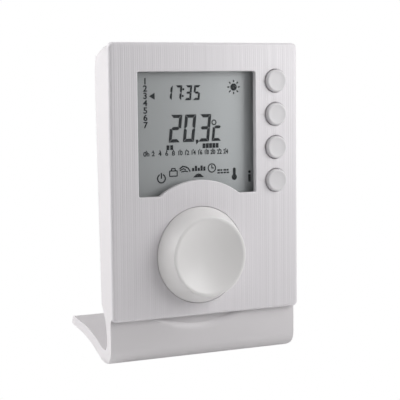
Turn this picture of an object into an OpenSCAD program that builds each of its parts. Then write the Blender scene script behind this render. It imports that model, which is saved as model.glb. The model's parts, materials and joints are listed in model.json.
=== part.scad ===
/* [Front panel] */
// Width of the front panel
panel_w = 80; // [72:1:96]
// Height of the front panel
panel_h = 103; // [98:1:124]
// Thickness of the front cover's face and rim
cover_t = 1.7; // [1.5:0.1:2.1]
// Corner radius of the front panel
panel_corner_r = 2; // [1:0.5:4]
// Bevel along the front panel's edges
panel_bevel = 0.7; // [0.3:0.1:1]

/* [Display] */
// Width of the display window
window_w = 49.7; // [42:0.1:52]
// Height of the display window at its sides
window_h = 46.3; // [40:0.1:50]
// Distance from the window's left side to the panel's left side
window_left = 11.5; // [9:0.1:14]
// Distance from the window's top to the panel's top
window_top = 10.8; // [9:0.1:14]
// Depth of the lens behind the panel's face
lens_depth = 2; // [1.9:0.1:4]
// Thickness of the lens
lens_t = 0.8; // [0.6:0.1:1]
// Air gap between the lens and the display
lens_gap = 1.6; // [0.1:0.1:2]
// Thickness of each display glass
glass_t = 0.7; // [0.5:0.1:0.9]
// Thickness of the reflector sheet
reflector_t = 0.3; // [0.2:0.1:0.4]

/* [Dial] */
// Distance from the dial's centre to the panel's left side
dial_left = 37; // [34:0.5:44]
// Height of the dial's centre above the panel's bottom
dial_up = 23.1; // [21:0.1:26]
// Radius of the dial at its foot
dial_foot_r = 18.3; // [15:0.1:19]
// Radius of the dial at its rim
dial_rim_r = 15.3; // [12:0.1:16]
// Height of the rim above the panel's face
dial_height = 7.8; // [6:0.1:10]
// Depth of the hollow in the dial's top
dial_hollow = 2.6; // [1.5:0.1:3.2]
// Depth of the round seat in the panel that the dial turns in
dial_seat = 0.7; // [0.5:0.1:0.8]
// Radius around the dial of the arc that cuts the window's bottom
window_arc_r = 28.4; // [26:0.1:30]
// Radius of the encoder's shaft
shaft_r = 3; // [2.5:0.1:3.5]

/* [Buttons] */
// Number of buttons in the column
button_count = 4; // [4]
// Radius of a button's cap
button_r = 4.3; // [3.8:0.1:4.7]
// How far a button stands out of the panel
button_proud = 1.5; // [1:0.1:2]
// Distance between neighbouring buttons
button_pitch = 12.8; // [11.5:0.1:13]
// Distance from the column to the panel's right side
button_right = 9.85; // [9.5:0.05:11]
// Height of the lowest button above the panel's bottom
button_up = 50.1; // [49:0.1:52]
// Travel of a button
button_travel = 0.5; // [0.3:0.1:0.6]

/* [Housing and board] */
// Depth of the housing's flat part behind the circuit board
tray_behind = 1.6; // [1.5:0.1:2.4]
// Gap between the circuit board and the battery bay
bay_gap = 0.6; // [0.4:0.1:1.5]
// Depth of the housing behind the cells' front
cell_cover = 1.9; // [1.8:0.1:3]
// Distance from the battery hump to the panel's side
hump_inset = 10; // [9:0.5:12]
// Wall of the rear housing
housing_wall = 1.2; // [1:0.1:1.4]
// Thickness of the circuit board
board_t = 1.2; // [1:0.1:1.2]
// Radius of an AAA cell
cell_r = 5.25; // [5.25]
// Length of an AAA cell
cell_l = 44.5; // [44.5]

/* [Stand] */
// Angle by which the thermostat leans back
lean = 20; // [12:1:24]
// How much narrower the stand is than the panel, at each side
stand_inset = 0.4; // [0.2:0.1:1]
// Wall of the stand
stand_wall = 2.2; // [1.8:0.1:2.4]
// Depth of the stand's front behind the panel's face
stand_front = 2.75; // [2.4:0.05:3.2]
// Depth of the side cheeks at their top
cheek_top_depth = 13.6; // [13:0.1:16]
// Radius of the heel
heel_r = 6; // [5:0.5:7]
// Distance from the panel's bottom down to the heel's centre
heel_drop = 10.6; // [9:0.1:16]
// Length of the foot behind the heel's centre
foot_l = 31.3; // [30:0.1:45]
// Thickness of the foot at its tip
foot_t = 3.4; // [2.2:0.1:4]
// How much thicker the foot is at the heel
foot_swell = 1.2; // [0:0.1:2]
// Depth of the stand's neck behind the panel's face, just over the heel
neck_depth = 6.4; // [6:0.1:9]
// Height of the arch under the foot
foot_arch = 1.7; // [0:0.1:2]
// Radius of the finger scoop below the panel
scoop_r = 38; // [30:1:45]
// How far the scoop reaches below the panel
scoop_reach = 6.7; // [5:0.1:8]
// Depth of the scoop
scoop_deep = 1.1; // [0.6:0.1:1.2]

/* [Clearances] */
// Gap between parts that are fixed to each other
fit_gap = 0.2; // [0.1:0.05:0.3]
// Gap around a part that moves
move_gap = 0.3; // [0.25:0.05:0.4]
// Radial gap of a turning shaft or a pivot pin
running_gap = 0.06; // [0.03:0.01:0.09]

/* [Hidden] */

eps = 0.01;
$fn = 96;

// The panel frame: x to the right, y backwards from the panel's face, z up from its bottom.
half_w = panel_w / 2;

// Depths of the stack behind the panel's face
tape_t = 0.2;
lens_back = lens_depth + lens_t;
lcd_front = lens_back + lens_gap;
lcd_middle = lcd_front + glass_t;
lcd_back = lcd_middle + glass_t;
reflector_back = lcd_back + reflector_t;
board_front = reflector_back + 0.2;
board_back = board_front + board_t;

// Window outline
window_x0 = -half_w + window_left;
window_x1 = window_x0 + window_w;
window_z1 = panel_h - window_top;
window_z0 = window_z1 - window_h;
collar_wall = 1.2;
lens_margin = 1.7;
glass_margin = 2.4;
ledge = 3;
lcd_frame_wall = 1;

// Dial
dial_x = -half_w + dial_left;
dial_z = dial_up;
dial_wall = 1.6;
dial_round = 0.7;
rim_land = 0.6;
hub_r = shaft_r + 1.8;
dial_foot_y = dial_seat - move_gap;
shaft_front = -dial_height + dial_hollow + dial_wall;
encoder_front = cover_t + 2 * move_gap;
encoder_size = 11.6;
encoder_flange = 14.5;
encoder_flange_t = 0.7;
encoder_back = board_back + 2.2;
encoder_wall = 0.6;

// Buttons
button_x = half_w - button_right;
button_hole_r = button_r + fit_gap;
button_flange_r = button_hole_r + 0.25;
button_flange_t = 0.8;
button_dome = 0.5;
button_bevel = 0.7;
stem_r = 2;
plunger_r = 1.6;
switch_size = 6;
switch_front = board_front - 1.4;
plunger_front = switch_front - button_travel - 0.2;
plunger_back = board_front - button_travel - 0.1;

// Rear housing
tray_gap = 0.6;
tray_half = half_w - stand_inset - stand_wall - tray_gap;
tray_top = panel_h - 2.2;
tray_bottom = 2.5;
tray_front = cover_t + fit_gap;
tray_depth = board_back + tray_behind;
hump_half = half_w - hump_inset;
hump_top = panel_h - 15;
hump_bottom = 4.5;
hump_corner_r = 3;
bay_floor_t = 0.9;
bay_floor = board_back + bay_gap + bay_floor_t;
body_depth = bay_floor + 2 * cell_r + cell_cover;
bay_half = cell_l / 2 + 2.55;
cell_pitch = 2 * cell_r + 1.3;
bay_mid = hump_top - housing_wall - cell_pitch - 0.6;
bay_h = 2 * cell_pitch + 0.4;
cell_y = bay_floor + cell_r + 0.2;
contact_t = 0.4;
cell_nub = 0.9;
spring_l = 2 * bay_half - cell_l - 2 * contact_t;

// Board
board_half = tray_half - housing_wall - 0.5;
board_bottom = 4;
board_top = panel_h - 6;
boss_r = 2.4;
screw_r = 1.1;
screw_head_r = 2.1;
screw_head_t = 1.3;
screw_x = hump_half - housing_wall - screw_head_r - move_gap;
screw_low = 9;
screw_high = 40.5;
cross_slot_l = 2.6;
cross_slot_w = 0.5;

// Places of the board's components, in x and z
micro_at = [17, 40];
micro_size = 9;
radio_at = [-18, 42];
antenna_x = [-20, 14];
antenna_z = 8.5;
crystal_at = [0, 40];
capacitor_x = [16, 23.5];
capacitor_z = 26;
resistor_x = dial_x - 21;
resistor_z = 26;
resistor_pitch = 3;
sensor_at = [23, 15];

// Hinge of the thermostat at the top of the stand
pivot_y = 4.2;
cheek_front = cover_t + 0.2;
pivot_round = pivot_y - cheek_front;
pivot_z = panel_h - 1.1 - pivot_round;
pin_r = 1;
pin_l = 1.5;
slot_half = pin_r + running_gap;

// Stand
stand_half = half_w - stand_inset;
cheek_in = stand_half - stand_wall;
back_plate_y = tray_depth + move_gap;
back_plate_t = 1.6;
cheek_low_depth = back_plate_y + back_plate_t;
cheek_knee = panel_h - 5;
cheek_wide = panel_h - 21;
heel_y = stand_front + heel_r;
heel_z = -heel_drop;
shelf_z = tray_bottom - 0.6;
opening_half = hump_half + 1;
opening_top = hump_top + 1.5;
opening_bottom = hump_bottom - 2.2;
foot_flat = 3;
neck_top = shelf_z + 4.1;
neck_waist = heel_z + 5.6;
neck_foot = heel_z + 2.6;
foot_start = 3;

// Place of the panel frame over the table
lift = heel_r + heel_drop * cos(lean) + heel_y * sin(lean);
front_reach = -(dial_height - dial_round) * cos(lean)
  + (dial_z - dial_rim_r + dial_round) * sin(lean) - dial_round;
rear_reach = (body_depth - hump_corner_r) * cos(lean)
  + (hump_top - hump_corner_r) * sin(lean) + hump_corner_r;
slide = -(front_reach + rear_reach) / 2;

function arc_points(c, r, a0, a1, n) =
  [for (i = [0 : n]) let (a = a0 + (a1 - a0) * i / n) [c[0] + r * cos(a), c[1] + r * sin(a)]];
function bend(p0, p1, p2, n) =
  [for (i = [0 : n]) let (t = i / n) (1 - t) * (1 - t) * p0 + 2 * t * (1 - t) * p1 + t * t * p2];
// A point given backwards from the heel's centre and up from the table, in the panel frame
function from_table(p) = let (y = p[0] + heel_y * cos(lean) - heel_drop * sin(lean), z = p[1] - lift)
  [y * cos(lean) - z * sin(lean), y * sin(lean) + z * cos(lean)];

module placed() {
  translate([0, slide, lift]) rotate([-lean, 0, 0]) children();
}

// An outline in x and z, from depth y0 to depth y1
module plate(y0, y1) {
  translate([0, y1, 0]) rotate([90, 0, 0]) linear_extrude(y1 - y0) children();
}

// An outline in y and z, from x0 to x1
module profile(x0, x1) {
  translate([x0, 0, 0]) rotate([90, 0, 90]) linear_extrude(x1 - x0) children();
}

// An outline in radius and depth, turned about an axis along y through x and z
module turned(x, z) {
  translate([x, 0, z]) rotate([-90, 0, 0]) rotate_extrude() children();
}

module rod(x, z, y0, y1, r) {
  translate([x, y0, z]) rotate([-90, 0, 0]) cylinder(h = y1 - y0, r = r);
}

module rod_x(x0, x1, y, z, r) {
  translate([x0, y, z]) rotate([0, 90, 0]) cylinder(h = x1 - x0, r = r);
}

module block(x0, x1, y0, y1, z0, z1) {
  translate([x0, y0, z0]) cube([x1 - x0, y1 - y0, z1 - z0]);
}

module rounded(x0, x1, z0, z1, r) {
  translate([x0 + r, z0]) square([x1 - x0 - 2 * r, z1 - z0]);
  translate([x0, z0 + r]) square([x1 - x0, z1 - z0 - 2 * r]);
  for (x = [x0 + r, x1 - r], z = [z0 + r, z1 - r]) translate([x, z]) circle(r);
}

// The window's outline grown by m: a rectangle whose bottom is cut by an arc around the dial
module window_outline(m) {
  difference() {
    translate([window_x0 - m, window_z0 - m]) square([window_w + 2 * m, window_h + 2 * m]);
    translate([dial_x, dial_z]) circle(window_arc_r - m);
  }
}

module beveled_panel() {
  intersection() {
    plate(0, cover_t) rounded(-half_w, half_w, 0, panel_h, panel_corner_r);
    profile(-half_w, half_w) polygon([[panel_bevel, 0], [cover_t, 0], [cover_t, panel_h],
      [panel_bevel, panel_h], [0, panel_h - panel_bevel], [0, panel_bevel]]);
    linear_extrude(panel_h) polygon([[-half_w, panel_bevel], [-half_w + panel_bevel, 0],
      [half_w - panel_bevel, 0], [half_w, panel_bevel], [half_w, cover_t], [-half_w, cover_t]]);
  }
}

module button_place(i) {
  translate([button_x, 0, button_up + (button_count - i) * button_pitch]) children();
}

module front_cover() {
  color("gainsboro") placed() difference() {
    union() {
      beveled_panel();
      plate(cover_t - 0.5, lens_depth - tape_t) window_outline(collar_wall);
      for (x = [-screw_x, screw_x], z = [screw_low, screw_high])
        rod(x, z, cover_t - 0.5, board_front, boss_r);
      for (z = [20, 44]) for (s = [-1, 1]) cover_tab(s, z);
    }
    rod(dial_x, dial_z, -1, dial_seat, dial_foot_r + move_gap);
    plate(-1, body_depth) window_outline(0);
    rod(dial_x, dial_z, -1, body_depth, shaft_r + 0.4);
    for (i = [1 : button_count]) button_place(i) rod(0, 0, -1, cover_t + 1, button_hole_r);
    for (x = [-screw_x, screw_x], z = [screw_low, screw_high])
      rod(x, z, cover_t + 0.6, board_front + 1, screw_r);
    for (i = [1 : button_count]) tick(i);
  }
}

// A locating tab on the cover's back, which goes inside the housing's side wall
module cover_tab(side, z) {
  x_out = tray_half - housing_wall - 0.15;
  x0 = side > 0 ? x_out - 0.3 : -x_out;
  block(x0, x0 + 0.3, cover_t - 0.5, cover_t + 3, z - 4, z + 4);
}

// The short engraved line between the window and a button
module tick(i) {
  z = button_up + (button_count - i) * button_pitch;
  block(window_x1 + 1.3, window_x1 + 4.8, -1, 0.12, z - 0.15, z + 0.15);
}

module display_window() {
  color([0.85, 0.9, 0.92, 0.3]) placed()
    plate(lens_depth, lens_back) rounded(window_x0 - lens_margin, window_x1 + lens_margin,
      window_z0 - lens_margin, window_z1 + lens_margin, 1);
}

module window_tape() {
  color("dimgray") placed() plate(lens_depth - tape_t, lens_depth) difference() {
    window_outline(collar_wall);
    window_outline(0.3);
  }
}

module lcd_front_glass() {
  color([0.6, 0.66, 0.62]) placed() block(window_x0 - glass_margin, window_x1 + glass_margin,
    lcd_front, lcd_middle, window_z0 - glass_margin + 1, window_z1 + glass_margin + ledge - 1.8);
}

module lcd_rear_glass() {
  color([0.62, 0.68, 0.64]) placed() block(window_x0 - glass_margin, window_x1 + glass_margin,
    lcd_middle, lcd_back, window_z0 - glass_margin + 1, window_z1 + glass_margin - 1.8);
}

module lcd_reflector() {
  color("silver") placed() block(window_x0 - glass_margin, window_x1 + glass_margin,
    lcd_back, reflector_back, window_z0 - glass_margin + 1, window_z1 + glass_margin - 1.8);
}

module lcd_frame() {
  x0 = window_x0 - glass_margin;
  x1 = window_x1 + glass_margin;
  z0 = window_z0 - glass_margin + 1;
  z1 = window_z1 + glass_margin + ledge - 1.8;
  g = 0.1;
  w = lcd_frame_wall;
  color("white") placed() difference() {
    block(x0 - g - w, x1 + g + w, lcd_front, board_front, z0 - g - w, z1 + g + w);
    block(x0 - g, x1 + g, lcd_front - 1, board_front + 1, z0 - g, z1 + g);
  }
}

module zebra_strip() {
  z0 = window_z1 + glass_margin - 1.8;
  color("darkslategray") placed() block(window_x0, window_x1, lcd_middle, board_front,
    z0 + 0.4, z0 + ledge - 0.4);
}

module main_board() {
  color("seagreen") placed() difference() {
    block(-board_half, board_half, board_front, board_back, board_bottom, board_top);
    block(dial_x - encoder_size / 2 - fit_gap, dial_x + encoder_size / 2 + fit_gap, board_front - 1,
      board_back + 1, dial_z - encoder_size / 2 - fit_gap, dial_z + encoder_size / 2 + fit_gap);
    for (x = [-screw_x, screw_x], z = [screw_low, screw_high])
      rod(x, z, board_front - 1, board_back + 1, screw_r + fit_gap);
  }
}

module board_screws() {
  color("silver") placed() for (x = [-screw_x, screw_x], z = [screw_low, screw_high]) {
    rod(x, z, cover_t + 1, board_back + eps, screw_r);
    difference() {
      rod(x, z, board_back, board_back + screw_head_t, screw_head_r);
      for (s = [[cross_slot_l, cross_slot_w], [cross_slot_w, cross_slot_l]])
        block(x - s[0] / 2, x + s[0] / 2, board_back + screw_head_t / 2, board_back + 2 * screw_head_t,
          z - s[1] / 2, z + s[1] / 2);
    }
  }
}

// A chip with its legs along two sides
module chip(x, z, w, h, t, legs) {
  block(x - w / 2, x + w / 2, board_back + 0.1, board_back + t, z - h / 2, z + h / 2);
  for (i = [0 : legs - 1]) let (lx = x - w / 2 + w * (i + 0.5) / legs)
    block(lx - 0.2, lx + 0.2, board_back, board_back + 0.4, z - h / 2 - 0.8, z + h / 2 + 0.8);
}

module microcontroller() {
  color("black") placed() chip(micro_at[0], micro_at[1], micro_size, micro_size, 1.5, 8);
}

module radio_module() {
  half = 6;
  shield_half = half - 0.8;
  foil_t = 0.8;
  color("silver") placed() translate([radio_at[0], board_back, radio_at[1]]) {
    block(-half, half, 0, foil_t, -8, 8);
    block(-shield_half, shield_half, foil_t, foil_t + 2, -6, 7);
  }
}

module antenna() {
  wire_r = 0.5;
  y = board_back + 4;
  color("goldenrod") placed() {
    rod_x(antenna_x[0], antenna_x[1], y, antenna_z, wire_r);
    for (x = antenna_x) translate([x, y, antenna_z]) sphere(wire_r);
    rod(antenna_x[0], antenna_z, board_back, y, wire_r);
    rod(antenna_x[1], antenna_z, y - 2, y, wire_r);
  }
}

module crystal() {
  color("lightgray") placed() {
    block(crystal_at[0] - 2.5, crystal_at[0] + 2.5, board_back, board_back + 3,
      crystal_at[1] - 2, crystal_at[1] + 2);
    for (s = [-2.5, 2.5]) rod(crystal_at[0] + s, crystal_at[1], board_back, board_back + 3, 2);
  }
}

module capacitors() {
  color("midnightblue") placed() for (x = capacitor_x) {
    rod(x, capacitor_z, board_back, board_back + 0.5, 3.2);
    rod(x, capacitor_z, board_back + 0.5, board_back + 7, 3);
  }
}

module resistors() {
  color("dimgray") placed() for (i = [0 : 3], j = [0 : 1])
    translate([resistor_x + resistor_pitch * i, board_back, resistor_z + resistor_pitch * j])
      cube([1.8, 0.5, 1]);
}

module temperature_sensor() {
  bead_y = board_back + 5;
  color("orange") placed() {
    translate([sensor_at[0], bead_y, sensor_at[1]]) sphere(1.3);
    for (s = [-0.6, 0.6]) rod(sensor_at[0] + s, sensor_at[1], board_back, bead_y, 0.25);
  }
}

module switch_bodies() {
  s = switch_size / 2;
  color("dimgray") placed() for (i = [1 : button_count]) button_place(i) difference() {
    block(-s, s, switch_front, board_front, -s, s);
    rod(0, 0, switch_front - 1, board_front - 0.05, plunger_r + running_gap);
  }
}

module switch_plunger(i) {
  color("black") placed() button_place(i) rod(0, 0, plunger_front, plunger_back, plunger_r);
}
module switch_plunger_1() { switch_plunger(1); }
module switch_plunger_2() { switch_plunger(2); }
module switch_plunger_3() { switch_plunger(3); }
module switch_plunger_4() { switch_plunger(4); }

module button(i) {
  flange_y = cover_t + 0.05;
  face_r = button_r - button_bevel;
  color("whitesmoke") placed() button_place(i) turned(0, 0) polygon(concat([[0, -button_proud]],
    bend([face_r, -button_proud], [button_r, -button_proud], [button_r, -button_proud + button_bevel], 4),
    [[button_r, flange_y], [button_flange_r, flange_y], [button_flange_r, flange_y + button_flange_t],
     [stem_r, flange_y + button_flange_t], [stem_r, plunger_front], [0, plunger_front]]));
}
module button_1() { button(1); }
module button_2() { button(2); }
module button_3() { button(3); }
module button_4() { button(4); }

module dial() {
  top = -dial_height;
  in_rim = dial_rim_r - dial_round;
  under = top + dial_hollow + dial_wall;
  color("white") placed() turned(dial_x, dial_z) difference() {
    polygon(concat(
      [for (i = [0 : 8]) let (r = (in_rim - rim_land) * i / 8)
        [r, top + dial_hollow * (1 - pow(r / (in_rim - rim_land), 2))]],
      arc_points([in_rim, top + dial_round], dial_round, -90, -12, 5),
      [[dial_foot_r, dial_foot_y - 0.3], [dial_foot_r, dial_foot_y], [dial_foot_r - dial_wall, dial_foot_y],
       [dial_rim_r - dial_wall, under + 0.3], [hub_r, under + 0.3], [hub_r, dial_foot_y],
       [0, dial_foot_y]]));
    translate([0, shaft_front]) square([shaft_r, body_depth]);
  }
}

module encoder_shaft() {
  color("silver") placed() difference() {
    rod(dial_x, dial_z, shaft_front, encoder_back - encoder_wall, shaft_r);
    block(dial_x - shaft_r, dial_x + shaft_r, shaft_front - 1, shaft_front + 5,
      dial_z + shaft_r - 0.8, dial_z + shaft_r + 1);
  }
}

module encoder_body() {
  s = encoder_size / 2;
  f = encoder_flange / 2;
  color("darkgray") placed() difference() {
    union() {
      block(dial_x - s, dial_x + s, encoder_front, encoder_back, dial_z - s, dial_z + s);
      block(dial_x - f, dial_x + f, board_back, board_back + encoder_flange_t, dial_z - f, dial_z + f);
    }
    rod(dial_x, dial_z, encoder_front - 1, encoder_back - encoder_wall + 0.1, shaft_r + running_gap);
  }
}

module hump_outline(m) {
  rounded(-hump_half + m, hump_half - m, hump_bottom + m, hump_top - m, hump_corner_r);
}

module rear_housing() {
  w = housing_wall;
  color("whitesmoke") placed() difference() {
    union() {
      plate(tray_front, tray_depth) rounded(-tray_half, tray_half, tray_bottom, tray_top, 1.5);
      intersection() {
        plate(tray_front, body_depth) hump_outline(0);
        hump_side_limit();
      }
    }
    difference() {
      plate(tray_front - 1, tray_depth - w)
        rounded(-tray_half + w, tray_half - w, tray_bottom + w, tray_top - w, 0.5);
      bay_block(bay_floor - bay_floor_t, w);
    }
    difference() {
      plate(tray_front, body_depth - w) hump_outline(w);
      bay_block(bay_floor - bay_floor_t, w);
    }
    bay_block(bay_floor, 0);
    for (i = [-2 : 2]) vent(i);
    for (s = [-1, 1]) hinge_slot(s);
  }
}

// The battery bay, open at the back, with its floor at depth y and its walls grown by m
module bay_block(y, m) {
  block(-bay_half - m, bay_half + m, y, body_depth + 1, bay_mid - bay_h / 2 - m, bay_mid + bay_h / 2 + m);
}

// The hump's rounded back edges, at its top and bottom
module hump_side_limit() {
  r = hump_corner_r;
  profile(-hump_half - 1, hump_half + 1) polygon(concat([[0, hump_bottom], [0, hump_top]],
    arc_points([body_depth - r, hump_top - r], r, 90, 0, 6),
    arc_points([body_depth - r, hump_bottom + r], r, 0, -90, 6)));
}

module vent(i) {
  block(-12, 12, body_depth - housing_wall - 1, body_depth + 1, 26 + 5 * i - 0.8, 26 + 5 * i + 0.8);
}

// The slot that hangs the housing on the stand's pivot pin
module hinge_slot(side) {
  x0 = side > 0 ? tray_half - housing_wall - 1 : -tray_half - 1;
  x1 = x0 + housing_wall + 2;
  rod_x(x0, x1, pivot_y, pivot_z, slot_half);
  block(x0, x1, pivot_y, body_depth, pivot_z - slot_half, pivot_z + slot_half);
}

// One AAA cell along x; way is 1 when its plus end points to +x
module cell(z, way) {
  plus = way * (bay_half - contact_t);
  shoulder = plus - way * cell_nub;
  minus = plus - way * cell_l;
  rod_x(min(shoulder, minus), max(shoulder, minus), cell_y, z, cell_r);
  rod_x(min(plus, shoulder), max(plus, shoulder), cell_y, z, 1.9);
}
module cell_upper() { color("silver") placed() cell(bay_mid + cell_pitch / 2, 1); }
module cell_lower() { color("silver") placed() cell(bay_mid - cell_pitch / 2, -1); }

// A conical coil of wire between a cell's minus end and its contact
module cell_spring(z, way) {
  wire_r = 0.35;
  turns = 7;
  x0 = -way * (bay_half - contact_t - wire_r);
  for (i = [0 : turns]) translate([x0 + way * i * (spring_l - 2 * wire_r) / turns, cell_y, z])
    rotate([0, 90, 0]) rotate_extrude() translate([3.6 - 0.2 * i, 0]) circle(wire_r, $fn = 16);
}
module cell_springs() {
  color("silver") placed() {
    cell_spring(bay_mid + cell_pitch / 2, 1);
    cell_spring(bay_mid - cell_pitch / 2, -1);
  }
}

module cell_contacts() {
  h = cell_pitch - 2;
  color("gold") placed() {
    for (s = [-1, 1], z = [bay_mid - cell_pitch / 2, bay_mid + cell_pitch / 2])
      block(s > 0 ? bay_half - contact_t : -bay_half, s > 0 ? bay_half : -bay_half + contact_t,
        bay_floor + 0.4, bay_floor + 2 * cell_r, z - h / 2, z + h / 2);
    block(-bay_half, -bay_half + contact_t, bay_floor + 3, bay_floor + 8,
      bay_mid - cell_pitch / 2, bay_mid + cell_pitch / 2);
  }
}

// The stand from its side: the cheek with its rounded top, the heel and the arched foot
module stand_outline() {
  arch_l = foot_l - foot_flat;
  polygon(concat(
    arc_points([pivot_y, pivot_z], pivot_round, 180, 75, 7),
    [[cheek_top_depth - 1, cheek_knee], [cheek_top_depth, cheek_knee - 4], [cheek_top_depth, cheek_wide],
     [cheek_low_depth, neck_top + 3]],
    bend([cheek_low_depth, neck_top], [neck_depth + 0.6, shelf_z - 1.5], [neck_depth + 0.2, neck_waist], 6),
    bend([neck_depth, neck_foot], from_table([-3, foot_top(0) - 0.1]), from_table([foot_start, foot_top(foot_start)]), 6),
    [for (i = [1 : 8]) let (y = foot_start + (foot_l - 1 - foot_start) * i / 8) from_table([y, foot_top(y)])],
    [from_table([foot_l, foot_top(foot_l) - 0.6]), from_table([foot_l, 0.4]), from_table([foot_l - 0.4, 0])],
    [for (i = [0 : 10]) let (s = 1 - i / 10) from_table([arch_l * s, 4 * foot_arch * s * (1 - s)])],
    [for (i = [1 : 9]) let (a = -90 - (90 + lean) * i / 9)
      from_table([heel_r * cos(a), heel_r + heel_r * sin(a)])],
    [[stand_front, 0], [cheek_front, 1]]));
}

function foot_top(y) = foot_t + foot_swell * (1 - y / foot_l) + 4 * foot_arch * min(1, y / (foot_l - foot_flat))
  * (1 - min(1, y / (foot_l - foot_flat)));

module stand() {
  color("gainsboro") placed() {
    difference() {
      intersection() {
        profile(-stand_half, stand_half) stand_outline();
        plate(-10, 60) rounded(-stand_half, stand_half, heel_z - heel_r - 1, panel_h, 3.5);
      }
      block(-cheek_in, cheek_in, -10, back_plate_y, shelf_z, panel_h + 1);
      block(-cheek_in, cheek_in, cheek_low_depth, 60, neck_top, panel_h + 1);
      block(-cheek_in, cheek_in, 0, 60, shelf_z, neck_top + 1);
      block(-opening_half, opening_half, 0, 60, opening_bottom, opening_top);
      block(-cheek_in, cheek_in, 0, 60, panel_h - 6, panel_h + 1);
      intersection() {
        turned(dial_x, scoop_r - scoop_reach) scoop_outline();
        block(-cheek_in, cheek_in, 0, stand_front + scoop_deep, heel_z, shelf_z + 1);
      }
    }
    for (s = [-1, 1]) rod_x(s > 0 ? cheek_in - pin_l : -cheek_in - 0.2,
      s > 0 ? cheek_in + 0.2 : -cheek_in + pin_l, pivot_y, pivot_z, pin_r);
  }
}

// The shallow finger scoop below the panel, in radius and depth
module scoop_outline() {
  polygon(concat([[0, 0], [scoop_r + 1, 0], [scoop_r + 1, stand_front]],
    bend([scoop_r, stand_front], [scoop_r - 2, stand_front], [scoop_r - 3.5, stand_front + scoop_deep], 6),
    [[0, stand_front + scoop_deep]]));
}

stand();
front_cover();
display_window();
window_tape();
lcd_front_glass();
lcd_rear_glass();
lcd_reflector();
lcd_frame();
zebra_strip();
main_board();
microcontroller();
radio_module();
antenna();
crystal();
capacitors();
resistors();
temperature_sensor();
switch_bodies();
switch_plunger_1();
switch_plunger_2();
switch_plunger_3();
switch_plunger_4();
button_1();
button_2();
button_3();
button_4();
dial();
encoder_shaft();
encoder_body();
board_screws();
rear_housing();
cell_upper();
cell_lower();
cell_springs();
cell_contacts();
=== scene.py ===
"""The looks of a table thermostat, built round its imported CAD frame."""

import json
import math

import bmesh
import bpy
import numpy as np
from bpy.props import FloatProperty, FloatVectorProperty, PointerProperty
from mathutils import Matrix, Vector
from mathutils.geometry import delaunay_2d_cdt


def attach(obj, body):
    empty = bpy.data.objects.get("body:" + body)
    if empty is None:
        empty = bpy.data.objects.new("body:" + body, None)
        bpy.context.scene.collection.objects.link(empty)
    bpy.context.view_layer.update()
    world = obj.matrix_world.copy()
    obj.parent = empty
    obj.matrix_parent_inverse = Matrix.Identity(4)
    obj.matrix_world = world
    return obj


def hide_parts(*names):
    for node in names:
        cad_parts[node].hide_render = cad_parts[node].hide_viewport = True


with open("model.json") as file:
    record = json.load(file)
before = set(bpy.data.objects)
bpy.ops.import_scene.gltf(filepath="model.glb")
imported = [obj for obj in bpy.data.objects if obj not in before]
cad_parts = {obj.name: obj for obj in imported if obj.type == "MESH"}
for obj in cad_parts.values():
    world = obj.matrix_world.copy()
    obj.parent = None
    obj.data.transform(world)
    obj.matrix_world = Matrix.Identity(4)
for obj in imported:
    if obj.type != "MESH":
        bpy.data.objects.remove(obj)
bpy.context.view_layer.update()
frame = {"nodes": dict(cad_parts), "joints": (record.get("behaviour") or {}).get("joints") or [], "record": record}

bl_info = {
    "name": "Table thermostat",
    "version": (1, 0, 0),
    "blender": (4, 5, 0),
    "location": "View3D > Sidebar > Thermostat",
    "description": "Builds the cover, dial, buttons, display, stand and batteries of a table thermostat",
    "category": "Object",
}

MM = 0.001

# The panel frame starts at the middle of the panel's bottom edge: x to the right, y back from its face,
# z up along it.
OUT = Vector(next(j["axis"] for j in frame["joints"] if j["name"] == "dial_turn")).normalized()
RIGHT = Vector((1, 0, 0))
UP = RIGHT.cross(-OUT)
TURN = Matrix((RIGHT, -OUT, UP)).transposed()


def cad_points(node):
    """A CAD node's vertices, turned into the panel's directions."""
    mesh = frame["nodes"][node].data
    points = np.zeros(len(mesh.vertices) * 3, np.float32)
    mesh.vertices.foreach_get("co", points)
    return points.reshape(-1, 3) @ np.array(TURN)


FACE = Vector((0, cad_points("front_cover")[:, 1].min(), cad_points("front_cover")[:, 2].min()))
PANEL = Matrix.Translation(TURN @ FACE) @ TURN.to_4x4()


def extent(node):
    """A CAD node's lowest and highest corner in the panel frame."""
    points = cad_points(node)
    return Vector(points.min(0)) - FACE, Vector(points.max(0)) - FACE


COVER_LO, COVER_HI = extent("front_cover")
LENS_LO, LENS_HI = extent("display_window")
DIAL_LO, DIAL_HI = extent("dial")
GLASS_LO, GLASS_HI = extent("lcd_front_glass")
BUTTONS = [f"button_{i}" for i in range(1, 5)]
# Each cell's direction: 1 where its plus end is at the right
CELLS = {"cell_upper": 1, "cell_lower": -1}
BODY_OF = {n: body for body, nodes in frame["record"]["behaviour"]["bodies"].items() for n in nodes}

DIAL_X = (DIAL_LO.x + DIAL_HI.x) / 2
DIAL_Z = (DIAL_LO.z + DIAL_HI.z) / 2
DIAL_FOOT_R = (DIAL_HI.x - DIAL_LO.x) / 2
LENS_MARGIN = 1.7 * MM
PANEL_HEIGHT = COVER_HI.z
COVER_T = 1.7 * MM
BOARD_FRONT = extent("main_board")[0].y


# ---------------------------------------------------------------- outlines


def arc(cx, cz, r, start, end, steps):
    """Points on an arc, from one angle to another."""
    return [(cx + r * math.cos(a), cz + r * math.sin(a)) for a in np.linspace(start, end, steps + 1)]


def circle(cx, cz, r, steps=96):
    """A closed round loop."""
    return arc(cx, cz, r, 0, 2 * math.pi, steps)[:-1]


def rectangle(x0, x1, z0, z1):
    """A closed loop of four corners, from the lower left."""
    return [(x0, z0), (x1, z0), (x1, z1), (x0, z1)]


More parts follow.
